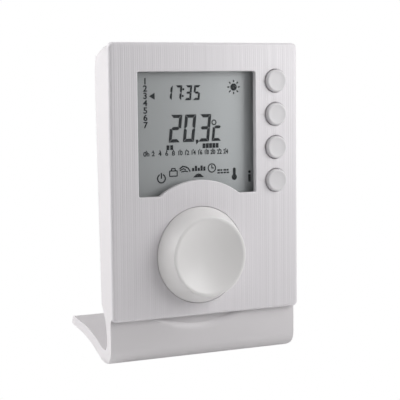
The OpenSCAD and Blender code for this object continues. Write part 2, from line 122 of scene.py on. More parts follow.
def softened(loop, corners, r, steps=6):
    """The loop with the named corners rounded to radius r."""
    made = []
    for i, point in enumerate(loop):
        if i not in corners:
            made.append(point)
            continue
        p = Vector(point)
        a = (Vector(loop[i - 1]) - p).normalized()
        b = (Vector(loop[(i + 1) % len(loop)]) - p).normalized()
        half = a.angle(b) / 2
        centre = p + (a + b).normalized() * (r / math.sin(half))
        first = p + a * (r / math.tan(half)) - centre
        sweep = first.angle_signed(p + b * (r / math.tan(half)) - centre)
        for k in range(steps + 1):
            turn = Matrix.Rotation(-sweep * k / steps, 2)
            made.append(tuple(centre + turn @ first))
    return made


def rounded_box(x0, x1, z0, z1, r, steps=6):
    """A rectangle with its four corners rounded."""
    return softened(rectangle(x0, x1, z0, z1), {0, 1, 2, 3}, r, steps)


def grown(loop, d):
    """An anticlockwise loop moved outwards by d."""
    made = []
    for i, (x, z) in enumerate(loop):
        (px, pz), (qx, qz) = loop[i - 1], loop[(i + 1) % len(loop)]
        a, b = Vector((z - pz, px - x)).normalized(), Vector((qz - z, x - qx)).normalized()
        m = (a + b) / (1 + a.dot(b))
        made.append((x + d * m.x, z + d * m.y))
    return made


class Shell:
    """A closed mesh in the panel frame, made ring by ring."""

    def __init__(self):
        self.bm = bmesh.new()

    def ring(self, loop, depth):
        """The vertices of one outline at a depth behind the panel's face."""
        return [self.bm.verts.new((x, depth, z)) for x, z in loop]

    def chain(self, rings):
        """The walls between each ring and the next."""
        for a, b in zip(rings, rings[1:]):
            for i in range(len(a)):
                self.bm.faces.new((a[i - 1], a[i], b[i], b[i - 1]))

    def cap(self, ring):
        self.bm.faces.new(ring)

    def sheet(self, rings):
        """The flat face between an outer ring and the rings of its holes."""
        verts = [v for ring in rings for v in ring]
        edges, start = [], 0
        for ring in rings:
            n = len(ring)
            edges += [(start + i, start + (i + 1) % n) for i in range(n)]
            start += n
        flat = [Vector((v.co.x, v.co.z)) / MM for v in verts]
        points, _, faces, sources, _, _ = delaunay_2d_cdt(flat, edges, [], 0, 1e-5)
        a = np.array([flat[i] for i, _ in edges])
        b = np.array([flat[j] for _, j in edges])
        for face in faces:
            x, z = sum((Vector(points[i]) for i in face), Vector((0, 0))) / len(face)
            spans = (a[:, 1] > z) != (b[:, 1] > z)
            low, high = a[spans], b[spans]
            cross = low[:, 0] + (z - low[:, 1]) / (high[:, 1] - low[:, 1]) * (high[:, 0] - low[:, 0])
            if (cross > x).sum() % 2:
                self.bm.faces.new([verts[sources[i][0]] for i in face])

    def slab(self, loop, front, back):
        """A plate of one outline between two depths."""
        rings = [self.ring(loop, front), self.ring(loop, back)]
        self.chain(rings)
        self.cap(rings[0])
        self.cap(list(reversed(rings[1])))

    def hoop(self, outer, inner, front, back):
        """A plate with a hole of the same shape."""
        rings = [self.ring(outer, front), self.ring(outer, back),
                 self.ring(inner, back), self.ring(inner, front)]
        self.chain(rings + rings[:1])

    def mesh(self, name):
        """The finished mesh at its place, with its faces outwards."""
        bmesh.ops.recalc_face_normals(self.bm, faces=self.bm.faces)
        self.bm.transform(PANEL)
        mesh = bpy.data.meshes.new(name)
        self.bm.to_mesh(mesh)
        self.bm.free()
        return mesh


def hole_fillet(shell, loop, r, steps=4, hold=0.05 * MM):
    """Rings of a rounded edge, from the wall of a hole up to the flat face round it."""
    rings = []
    for k in range(steps + 1):
        a = math.pi / 2 * k / steps
        rings.append(shell.ring(grown(loop, r * (1 - math.cos(a))), r * (1 - math.sin(a))))
    rings.append(shell.ring(grown(loop, r + hold), 0))
    return rings


# ------------------------------------------------------------------ pieces


def shaded(mesh, angle=35):
    """Smooth faces that stay crisp over sharp edges."""
    mesh.shade_smooth()
    mesh.set_sharp_from_angle(angle=math.radians(angle))
    return mesh


def piece(name, mesh, finish, node, *others):
    """A finished piece that stands for one or more CAD nodes, and rides on their body."""
    obj = bpy.data.objects.new(name, mesh)
    bpy.context.scene.collection.objects.link(obj)
    mesh.materials.clear()
    mesh.materials.append(finish)
    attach(obj, BODY_OF[node])
    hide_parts(node, *others)
    weigh_normals(obj)
    return obj


def marking(name, mesh, finish, body):
    """A finished piece with no CAD node of its own."""
    obj = bpy.data.objects.new(name, mesh)
    bpy.context.scene.collection.objects.link(obj)
    mesh.materials.clear()
    mesh.materials.append(finish)
    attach(obj, body)
    return obj


def weigh_normals(obj):
    """Keeps large faces flat beside their rounded edges."""
    modifier = obj.modifiers.new("Weighted normals", "WEIGHTED_NORMAL")
    modifier.keep_sharp = True
    modifier.weight = 80


def rounded_copy(node, width, sharp=32):
    """A copy of a CAD node with its outer edges rounded."""
    bm = bmesh.new()
    bm.from_mesh(frame["nodes"][node].data)
    bmesh.ops.remove_doubles(bm, verts=bm.verts, dist=2e-6)
    bmesh.ops.dissolve_limit(bm, angle_limit=math.radians(0.6), verts=bm.verts, edges=bm.edges)
    edges = [e for e in bm.edges if len(e.link_faces) == 2 and e.is_convex
             and e.calc_face_angle(0) > math.radians(sharp)]
    bmesh.ops.bevel(bm, geom=edges, offset=width, offset_type="OFFSET", segments=3, profile=0.5,
                    affect="EDGES", clamp_overlap=True)
    mesh = bpy.data.meshes.new(node + "_rounded")
    bm.to_mesh(mesh)
    bm.free()
    return shaded(mesh)


# ---------------------------------------------------------- geometry trees


def new_tree(name, kind, inputs, outputs):
    """A node tree with named sockets; an input is (name, type, default)."""
    tree = bpy.data.node_groups.new(name, kind)
    for label, socket, default in inputs:
        made = tree.interface.new_socket(label, in_out="INPUT", socket_type=socket)
        if default is not None:
            made.default_value = default
    for label, socket in outputs:
        tree.interface.new_socket(label, in_out="OUTPUT", socket_type=socket)
    return tree


def add(tree, kind, inputs=None, **settings):
    """One node, with its settings and the values or sockets that go into it."""
    node = tree.nodes.new(kind)
    for key, value in settings.items():
        setattr(node, key, value)
    for key, value in (inputs or {}).items():
        if isinstance(value, bpy.types.NodeSocket):
            tree.links.new(value, node.inputs[key])
        else:
            node.inputs[key].default_value = value
    return node


def calc(tree, operation, *values):
    """A Math node's result."""
    return add(tree, "ShaderNodeMath", dict(enumerate(values)), operation=operation).outputs[0]


def point_count(tree, geometry):
    """The number of points in a geometry."""
    return add(tree, "GeometryNodeAttributeDomainSize", {"Geometry": geometry}).outputs["Point Count"]


def position(tree):
    """The place of each point."""
    return add(tree, "GeometryNodeInputPosition").outputs[0]


def step_angle(tree, step, count):
    """The angle after some steps, of which count go all the way round."""
    return calc(tree, "DIVIDE", calc(tree, "MULTIPLY", step, 2 * math.pi), count)


def turned_about(tree, vector, given, angle):
    """A vector turned about the tree's given centre and axis."""
    return add(tree, "ShaderNodeVectorRotate", {
        "Vector": vector, "Center": given["Centre"], "Axis": given["Axis"], "Angle": angle}).outputs[0]


def moved_to(tree, geometry, places):
    """A geometry with each point at its new place."""
    return add(tree, "GeometryNodeSetPosition", {"Geometry": geometry, "Position": places}).outputs[0]


def on_points(tree, points, mark):
    """A copy of a mark on each point."""
    return add(tree, "GeometryNodeInstanceOnPoints", {"Points": points, "Instance": mark}).outputs[0]


def turned_tree():
    """Turns an outline, drawn at its place, all the way round an axis."""
    tree = new_tree("Turned piece", "GeometryNodeTree", [
        ("Outline", "NodeSocketGeometry", None), ("Centre", "NodeSocketVector", None),
        ("Axis", "NodeSocketVector", None), ("Segments", "NodeSocketInt", 128),
        ("Finish", "NodeSocketMaterial", None)], [("Piece", "NodeSocketGeometry")])
    given = tree.nodes.new("NodeGroupInput").outputs
    count = point_count(tree, given["Outline"])
    last = calc(tree, "SUBTRACT", count, 1)
    grid = add(tree, "GeometryNodeMeshGrid", {"Size X": last, "Size Y": given["Segments"], "Vertices X": count,
                                              "Vertices Y": calc(tree, "ADD", given["Segments"], 1)})
    # The grid's points stand one apart round its middle, so each one's place gives its row and its step
    here = add(tree, "ShaderNodeSeparateXYZ", {0: position(tree)}).outputs
    row = calc(tree, "ADD", here["X"], calc(tree, "DIVIDE", last, 2))
    step = calc(tree, "ADD", here["Y"], calc(tree, "DIVIDE", given["Segments"], 2))
    whole = add(tree, "FunctionNodeFloatToInt", {0: row}).outputs[0]
    drawn = add(tree, "GeometryNodeSampleIndex", {"Geometry": given["Outline"], "Index": whole},
                data_type="FLOAT_VECTOR")
    tree.links.new(position(tree), drawn.inputs["Value"])
    angle = step_angle(tree, step, given["Segments"])
    placed = moved_to(tree, grid.outputs["Mesh"], turned_about(tree, drawn.outputs[0], given, angle))
    merged = add(tree, "GeometryNodeMergeByDistance", {"Geometry": placed, "Distance": 1e-6})
    finish_tree(tree, merged.outputs[0], given["Finish"])
    return tree


def finish_tree(tree, geometry, finish):
    """Ends a tree with real geometry in its finish."""
    real = add(tree, "GeometryNodeRealizeInstances", {"Geometry": geometry})
    coated = add(tree, "GeometryNodeSetMaterial", {"Geometry": real.outputs[0], "Material": finish})
    end = tree.nodes.new("NodeGroupOutput")
    tree.links.new(coated.outputs[0], end.inputs[0])


def row_tree():
    """Repeats a drawn mark along a line."""
    tree = new_tree("Row of marks", "GeometryNodeTree", [
        ("Mark", "NodeSocketGeometry", None), ("Count", "NodeSocketInt", 5),
        ("Start", "NodeSocketVector", None), ("Step", "NodeSocketVector", None),
        ("Finish", "NodeSocketMaterial", None)], [("Marks", "NodeSocketGeometry")])
    given = tree.nodes.new("NodeGroupInput").outputs
    line = add(tree, "GeometryNodeMeshLine", {"Count": given["Count"], "Start Location": given["Start"],
                                              "Offset": given["Step"]}, mode="OFFSET")
    finish_tree(tree, on_points(tree, line.outputs[0], given["Mark"]), given["Finish"])
    return tree


def fan_tree():
    """Repeats a drawn mark round a point."""
    tree = new_tree("Fan of marks", "GeometryNodeTree", [
        ("Mark", "NodeSocketGeometry", None), ("Count", "NodeSocketInt", 8),
        ("Centre", "NodeSocketVector", None), ("Axis", "NodeSocketVector", None),
        ("Finish", "NodeSocketMaterial", None)], [("Marks", "NodeSocketGeometry")])
    given = tree.nodes.new("NodeGroupInput").outputs
    points = add(tree, "GeometryNodeMeshLine", {"Count": given["Count"], "Offset": (0, 0, 0)}, mode="OFFSET")
    marks = on_points(tree, points.outputs[0], given["Mark"])
    real = add(tree, "GeometryNodeRealizeInstances", {"Geometry": marks}).outputs[0]
    index = add(tree, "GeometryNodeInputIndex").outputs[0]
    copy = calc(tree, "FLOOR", calc(tree, "DIVIDE", index, point_count(tree, given["Mark"])))
    angle = step_angle(tree, copy, given["Count"])
    placed = moved_to(tree, real, turned_about(tree, position(tree), given, angle))
    finish_tree(tree, placed, given["Finish"])
    return tree


def coil_tree():
    """A conical coil of round wire along x."""
    tree = new_tree("Coil of wire", "GeometryNodeTree", [
        ("Seed piece", "NodeSocketGeometry", None), ("Turns", "NodeSocketFloat", 6.0),
        ("Wide radius", "NodeSocketFloat", 3.6 * MM), ("Narrow radius", "NodeSocketFloat", 2.2 * MM),
        ("Length", "NodeSocketFloat", 4 * MM), ("Wire radius", "NodeSocketFloat", 0.35 * MM),
        ("Place", "NodeSocketVector", None), ("Turn", "NodeSocketVector", None),
        ("Finish", "NodeSocketMaterial", None)], [("Coil", "NodeSocketGeometry")])
    given = tree.nodes.new("NodeGroupInput").outputs
    spiral = add(tree, "GeometryNodeCurveSpiral", {
        "Resolution": 28, "Rotations": given["Turns"], "Start Radius": given["Wide radius"],
        "End Radius": given["Narrow radius"], "Height": given["Length"]})
    wire = add(tree, "GeometryNodeCurvePrimitiveCircle", {"Resolution": 12, "Radius": given["Wire radius"]})
    coil = add(tree, "GeometryNodeCurveToMesh", {"Curve": spiral.outputs[0], "Profile Curve": wire.outputs[0],
                                                 "Fill Caps": True})
    moved = add(tree, "GeometryNodeTransform", {"Geometry": coil.outputs[0], "Translation": given["Place"],
                                                "Rotation": given["Turn"]})
    finish_tree(tree, moved.outputs[0], given["Finish"])
    return tree


TREES = {}


def grown_mesh(name, drawn, maker, **values):
    """Runs a geometry tree on a drawn mesh, and gives the result as a plain mesh."""
    if maker not in TREES:
        TREES[maker] = maker()
    tree = TREES[maker]
    obj = bpy.data.objects.new(name + "_drawn", drawn)
    bpy.context.scene.collection.objects.link(obj)
    modifier = obj.modifiers.new("Shape", "NODES")
    modifier.node_group = tree
    sockets = {s.name.replace(" ", "_").lower(): s.identifier for s in tree.interface.items_tree
               if s.item_type == "SOCKET" and s.in_out == "INPUT"}
    for key, value in values.items():
        modifier[sockets[key]] = value
    bpy.context.view_layer.update()
    shown = obj.evaluated_get(bpy.context.evaluated_depsgraph_get())
    mesh = bpy.data.meshes.new_from_object(shown)
    obj.modifiers.remove(modifier)
    bpy.data.objects.remove(obj)
    mesh.name = name
    bm = bmesh.new()
    bm.from_mesh(mesh)
    bmesh.ops.recalc_face_normals(bm, faces=bm.faces)
    bm.to_mesh(mesh)
    bm.free()
    if not mesh.polygons:
        raise RuntimeError(f"{name}: the geometry tree made nothing")
    return mesh


def drawn_line(name, points):
    """An open outline, given in the panel frame, as a mesh of edges."""
    mesh = bpy.data.meshes.new(name)
    edges = [(i, i + 1) for i in range(len(points) - 1)]
    mesh.from_pydata([tuple(PANEL @ Vector(p)) for p in points], edges, [])
    return mesh


def lathe(name, outline, x, z, finish, segments=128):
    """Turns an outline of (radius, depth) about an axis through the panel."""
    drawn = drawn_line(name, [(x + r, depth, z) for r, depth in outline])
    return grown_mesh(name, drawn, turned_tree, centre=tuple(PANEL @ Vector((x, 0, z))), axis=tuple(OUT),
                      segments=segments, finish=finish)


def bend(a, b, c, steps):
    """Points of a curve from a to c that is pulled to b."""
    a, b, c = Vector(a), Vector(b), Vector(c)
    return [tuple((1 - t) ** 2 * a + 2 * t * (1 - t) * b + t * t * c) for t in np.linspace(0, 1, steps + 1)]


# ---------------------------------------------------------------- finishes


# The colour Mix node's sockets, whose names it shares with its number sockets
MIX_A, MIX_B, MIX_RESULT = 6, 7, 2


def object_place(tree):
    """The place on the object that a pattern is read at."""
    return add(tree, "ShaderNodeTexCoord").outputs["Object"]


def noise(tree, place, scale, detail):
    """Cloudy noise, about 0 to 1."""
    return add(tree, "ShaderNodeTexNoise", {"Vector": place, "Scale": scale, "Detail": detail}).outputs["Fac"]


def mixed_colour(tree, share, a, b):
    """A colour between two colours or colour sockets."""
    mix = add(tree, "ShaderNodeMix", {"Factor": share}, data_type="RGBA")
    for index, tint in ((MIX_A, a), (MIX_B, b)):
        if isinstance(tint, bpy.types.NodeSocket):
            tree.links.new(tint, mix.inputs[index])
        else:
            mix.inputs[index].default_value = rgba(tint)
    return mix.outputs[MIX_RESULT]


def principled(material):
    """A material's shader."""
    return material.node_tree.nodes["Principled BSDF"]


def base_colour(material):
    """The socket that a material takes its base colour from."""
    return principled(material).inputs["Base Color"].links[0].from_socket


def tone_group():
    """Slow changes of colour and gloss in a moulded or coated surface."""
    tree = new_tree("Surface tone", "ShaderNodeTree", [
        ("Base", "NodeSocketColor", (0.8, 0.8, 0.8, 1)), ("Shade", "NodeSocketColor", (0.7, 0.7, 0.7, 1)),
        ("Patches", "NodeSocketFloat", 40.0), ("Amount", "NodeSocketFloat", 0.3),
        ("Roughness", "NodeSocketFloat", 0.4), ("Gloss change", "NodeSocketFloat", 0.06)],
        [("Colour", "NodeSocketColor"), ("Roughness", "NodeSocketFloat")])
    given = tree.nodes.new("NodeGroupInput").outputs
    end = tree.nodes.new("NodeGroupOutput")
    cloud = add(tree, "ShaderNodeTexNoise", {"Vector": object_place(tree), "Scale": given["Patches"],
                                             "Detail": 3.0, "Roughness": 0.55}).outputs["Fac"]
    share = calc(tree, "MULTIPLY", cloud, given["Amount"])
    tree.links.new(mixed_colour(tree, share, given["Base"], given["Shade"]), end.inputs["Colour"])
    swing = calc(tree, "MULTIPLY", calc(tree, "SUBTRACT", cloud, 0.5), given["Gloss change"])
    tree.links.new(calc(tree, "ADD", given["Roughness"], swing), end.inputs["Roughness"])
    return tree





def grain_group():
    """The fine pitted grain of an eroded mould."""
    tree = new_tree("Fine grain", "ShaderNodeTree", [
        ("Grains", "NodeSocketFloat", 2200.0), ("Depth", "NodeSocketFloat", 0.5)],
        [("Height", "NodeSocketFloat"), ("Mask", "NodeSocketFloat")])
    given = tree.nodes.new("NodeGroupInput").outputs
    end = tree.nodes.new("NodeGroupOutput")
    place = object_place(tree)
    broad_scale, broad_share = 0.12, 0.35
    fine = noise(tree, place, given["Grains"], 2.0)
    broad = noise(tree, place, calc(tree, "MULTIPLY", given["Grains"], broad_scale), 1.0)
    both = calc(tree, "ADD", fine, calc(tree, "MULTIPLY", broad, broad_share))
    tree.links.new(calc(tree, "MULTIPLY", both, given["Depth"]), end.inputs["Height"])
    tree.links.new(fine, end.inputs["Mask"])
    return tree


def rib_group():
    """Fine ribs that run up the panel, a little uneven, as a cut mould leaves them."""
    tree = new_tree("Upright ribs", "ShaderNodeTree", [
        ("Pitch", "NodeSocketFloat", 0.45 * MM), ("Depth", "NodeSocketFloat", 0.5),
        ("Uneven", "NodeSocketFloat", 0.4)], [("Height", "NodeSocketFloat"), ("Mask", "NodeSocketFloat")])
    given = tree.nodes.new("NodeGroupInput").outputs
    end = tree.nodes.new("NodeGroupOutput")
    across = add(tree, "ShaderNodeSeparateXYZ", {0: object_place(tree)}).outputs["X"]
    turns = calc(tree, "DIVIDE", across, given["Pitch"])
    wave = calc(tree, "SINE", calc(tree, "MULTIPLY", turns, 2 * math.pi))
    drift = add(tree, "ShaderNodeTexNoise", {"W": calc(tree, "MULTIPLY", turns, 0.43), "Detail": 2.0,
                                             "Scale": 1.0}, noise_dimensions="1D").outputs["Fac"]
    swing = calc(tree, "MULTIPLY", given["Uneven"], 4.0)
    uneven = calc(tree, "MULTIPLY", calc(tree, "SUBTRACT", drift, 0.5), swing)
    height = calc(tree, "ADD", calc(tree, "MULTIPLY", wave, 0.5), uneven)
    tree.links.new(calc(tree, "MULTIPLY", height, given["Depth"]), end.inputs["Height"])
    tree.links.new(calc(tree, "ADD", calc(tree, "MULTIPLY", wave, 0.5), 0.5), end.inputs["Mask"])
    return tree


def brush_group():
    """Fine drawn lines in metal, along one axis."""
    tree = new_tree("Drawn lines", "ShaderNodeTree", [
        ("Stretch", "NodeSocketVector", (20, 2000, 2000)), ("Depth", "NodeSocketFloat", 0.3)],
        [("Height", "NodeSocketFloat"), ("Mask", "NodeSocketFloat")])
    given = tree.nodes.new("NodeGroupInput").outputs
    end = tree.nodes.new("NodeGroupOutput")
    scaled = add(tree, "ShaderNodeVectorMath", {0: object_place(tree), 1: given["Stretch"]},
                 operation="MULTIPLY").outputs[0]
    lines = noise(tree, scaled, 1.0, 2.0)
    tree.links.new(calc(tree, "MULTIPLY", lines, given["Depth"]), end.inputs["Height"])
    tree.links.new(lines, end.inputs["Mask"])
    return tree


def group(tree, maker, **values):
    """A shared shader group in a material, with its own values."""
    if maker not in TREES:
        TREES[maker] = maker()
    node = tree.nodes.new("ShaderNodeGroup")
    node.node_tree = TREES[maker]
    for key, value in values.items():
        label = key.replace("_", " ").capitalize()
        if isinstance(value, bpy.types.NodeSocket):
            tree.links.new(value, node.inputs[label])
        else:
            node.inputs[label].default_value = value
    return node.outputs


def rgba(tint):
    """A colour with full alpha."""
    return (*tint[:3], 1)


def surface(name, base, shade=None, roughness=0.4, patches=45.0, amount=0.35, gloss_change=0.06,
            grains=2200.0, depth=0.4, bump=0.08, distance=0.02 * MM, relief=None, **constants):
    """A finish: toned colour and gloss, with a grain or relief over it. Constants go on the shader."""
    material = bpy.data.materials.new(name)
    material.use_nodes = True
    tree = material.node_tree
    shader = principled(material)
    shade = shade or tuple(c * 0.86 for c in base[:3])
    tone = group(tree, tone_group, base=rgba(base), shade=rgba(shade), patches=patches, amount=amount,
                 roughness=roughness, gloss_change=gloss_change)
    tree.links.new(tone["Colour"], shader.inputs["Base Color"])
    tree.links.new(tone["Roughness"], shader.inputs["Roughness"])
    height = relief(tree) if relief else group(tree, grain_group, grains=grains, depth=depth)["Height"]
    raised = add(tree, "ShaderNodeBump", {"Height": height, "Strength": bump, "Distance": distance})
    tree.links.new(raised.outputs[0], shader.inputs["Normal"])
    for key, value in constants.items():
        shader.inputs[key.replace("_", " ").title().replace("Ior", "IOR")].default_value = value
    return material


def ribbed_relief(pitch, depth, grains=1800.0):
    """Ribs with a trace of grain over them."""
    def made(tree):
        ribs = group(tree, rib_group, pitch=pitch, depth=depth, uneven=1.0)["Height"]
        grain = group(tree, grain_group, grains=grains, depth=0.25)["Height"]
        return calc(tree, "ADD", ribs, grain)
    return made


def rib_crest_highlight(material, pitch, base):
    """Painted highlight: the ribs' crests are painted a little lighter, as if they caught the light."""
    tree = material.node_tree
    crest = group(tree, rib_group, pitch=pitch, depth=0.5, uneven=1.0)["Height"]
    # Painted highlight: more of the lighter tint towards each rib's crest
    share = calc(tree, "ADD", calc(tree, "MULTIPLY", crest, 0.4), 0.35)
    lighter = tuple(min(1, c * 1.09) for c in base)
    tone = mixed_colour(tree, share, base_colour(material), lighter)
    tree.links.new(tone, principled(material).inputs["Base Color"])


def drawn_relief(stretch, depth=0.5):
    """Fine drawn lines, stretched by a factor along each axis."""
    def made(tree):
        return group(tree, brush_group, stretch=stretch, depth=depth)["Height"]
    return made


# -------------------------------------------------------------- properties


def length(name, description, default, low=0.0):
    """A size in metres."""
    return FloatProperty(name=name, description=description, default=default, min=low, unit="LENGTH",
                         precision=5)


def colour(name, description, default):
    """A colour without alpha."""
    return FloatVectorProperty(name=name, description=description, default=default, size=3, min=0, max=1,
                               subtype="COLOR")


def number(name, description, default, low=0.0, high=1.0):
    """A plain number within its limits."""
    return FloatProperty(name=name, description=description, default=default, min=low, max=high)


class CoverSettings(bpy.types.PropertyGroup):
    corner: length("Corner", "Radius of the cover's corners", 2 * MM)
    edge: length("Edge", "Radius of the rounded outer edge", 1.1 * MM)
    window_corner: length("Window corner", "Radius of the window's corners", 0.7 * MM)
    window_edge: length("Window edge", "Radius of the edge round the window", 0.35 * MM)
    arc_radius: length("Window arc", "Radius of the arc round the dial", 28.4 * MM)
    seat_gap: length("Seat gap", "Gap between the dial and its seat", 0.14 * MM)
    seat_depth: length("Seat depth", "Depth of the round seat", 0.6 * MM)
    seat_edge: length("Seat edge", "Radius of the seat's edge", 0.12 * MM)
    shaft_hole: length("Shaft hole", "Radius of the hole for the shaft", 3.4 * MM)
    button_edge: length("Button edge", "Radius of the edge round a button", 0.4 * MM)
    tick_depth: length("Tick depth", "Depth of the short lines beside the buttons", 0.12 * MM)
    rib_pitch: length("Rib pitch", "Distance between the fine upright ribs", 0.86 * MM)
    rib_depth: number("Rib depth", "How strongly the ribs show", 0.34, 0, 3)


class DialSettings(bpy.types.PropertyGroup):
    rim_radius: length("Rim radius", "Radius of the dial's rim", 15.3 * MM)
    rim_round: length("Rim round", "Radius of the rounded rim", 0.7 * MM)
    rim_land: length("Rim land", "Width of the flat on the rim", 0.6 * MM)
    hollow: length("Hollow", "Depth of the hollow in the top", 2.6 * MM)
    wall: length("Wall", "Wall of the dial", 1.6 * MM)
    hub_radius: length("Hub radius", "Radius of the hub on the shaft", 4.8 * MM)
    shaft_radius: length("Shaft radius", "Radius of the bore for the shaft", 3 * MM)


class ButtonSettings(bpy.types.PropertyGroup):
    radius: length("Radius", "Radius of a button's cap", 4.3 * MM)
    flange: length("Flange", "Thickness of the flange behind the cover", 0.8 * MM)
    rim: length("Rim", "Width of the rounded rim", 0.75 * MM)
    dish: length("Dish", "How far the cap's middle lies under its rim", 0.16 * MM)
    stem: length("Stem", "Radius of the stem", 2 * MM)


class DisplaySettings(bpy.types.PropertyGroup):
    slant: number("Slant", "Slant of the digits", 0.11)
    stroke: length("Stroke", "Width of a big digit's stroke", 1.24 * MM)
    ink: colour("Ink", "Colour of the shown marks", (0.016, 0.019, 0.022))
    # The left and right tones paint shade at the display's left and light at its right
    left: colour("Left tone", "Colour of the display at its left", (0.36, 0.375, 0.38))
    right: colour("Right tone", "Colour of the display at its right", (0.48, 0.505, 0.515))
    lens_alpha: number("Lens density", "How much of the lens shows", 0.018)


class CaseSettings(bpy.types.PropertyGroup):
    stand_edge: length("Stand edge", "Radius of the stand's edges", 0.5 * MM)
    housing_edge: length("Housing edge", "Radius of the housing's edges", 0.35 * MM)
    coil_turns: number("Coil turns", "Turns of each battery spring", 6.0, 1, 12)


class FinishSettings(bpy.types.PropertyGroup):
    cover: colour("Cover", "Colour of the ribbed front cover", (0.775, 0.75, 0.775))
    dial: colour("Dial", "Colour of the polished dial", (0.82, 0.805, 0.80))
    button: colour("Buttons", "Colour of the buttons", (0.71, 0.695, 0.71))
    stand: colour("Stand", "Colour of the stand", (0.775, 0.75, 0.765))
    housing: colour("Housing", "Colour of the rear housing", (0.775, 0.755, 0.765))
    label: colour("Cell label", "Colour of the battery's sleeve", (0.06, 0.16, 0.34))


class StageSettings(bpy.types.PropertyGroup):
    azimuth: FloatProperty(name="Azimuth", default=math.radians(30.10), subtype="ANGLE",
                           description="Direction that the camera looks in, from straight ahead")
    drop: FloatProperty(name="Drop", description="Angle that the camera looks down by",
                        default=math.radians(22.34), subtype="ANGLE")
    roll: FloatProperty(name="Roll", description="Turn of the camera about its own line of sight",
                        default=math.radians(-9.304), subtype="ANGLE")
    distance: length("Distance", "Distance from the camera to the panel", 509.7 * MM)
    lens: FloatProperty(name="Lens", description="Focal length in millimetres", default=121.54, min=10)
    aim_x: FloatProperty(name="Aim across", description="Point on the panel that the camera looks at",
                         default=-3.21 * MM, unit="LENGTH")
    aim_z: length("Aim up", "Height on the panel that the camera looks at", 43.89 * MM)
    key: number("Key", "Power of the light from the right", 0.62, 0, 100)
    side: number("Side", "Power of the light from the left", 3.7, 0, 100)
    top: number("Top", "Power of the light from above", 1.0, 0, 100)
    surround: number("Surround", "Brightness of the room", 0.16, 0, 5)
    floor_glow: number("Floor glow", "Brightness of the floor as it is seen", 1.0, 0, 5)


class ThermostatSettings(bpy.types.PropertyGroup):
    cover: PointerProperty(type=CoverSettings)
    dial: PointerProperty(type=DialSettings)
    button: PointerProperty(type=ButtonSettings)
    display: PointerProperty(type=DisplaySettings)
    case: PointerProperty(type=CaseSettings)
    finish: PointerProperty(type=FinishSettings)
    stage: PointerProperty(type=StageSettings)


# --------------------------------------------------------------- operators


def window_outline(s):
    """The window: a rectangle whose bottom is cut by an arc round the dial."""
    x0, x1 = LENS_LO.x + LENS_MARGIN, LENS_HI.x - LENS_MARGIN
    z0, z1 = LENS_LO.z + LENS_MARGIN, LENS_HI.z - LENS_MARGIN
    a = math.asin((z0 - DIAL_Z) / s.arc_radius)
    hump = arc(DIAL_X, DIAL_Z, s.arc_radius, math.pi - a, a, 36)
    loop = [(x0, z0), *hump, (x1, z0), (x1, z1), (x0, z1)]
    return softened(loop, {0, 1, len(hump), len(hump) + 1, len(hump) + 2, len(hump) + 3}, s.window_corner)


def button_middle(node):
    """A button's middle and the radius of its flange."""
    lo, hi = extent(node)
    return (lo.x + hi.x) / 2, (lo.z + hi.z) / 2, (hi.x - lo.x) / 2


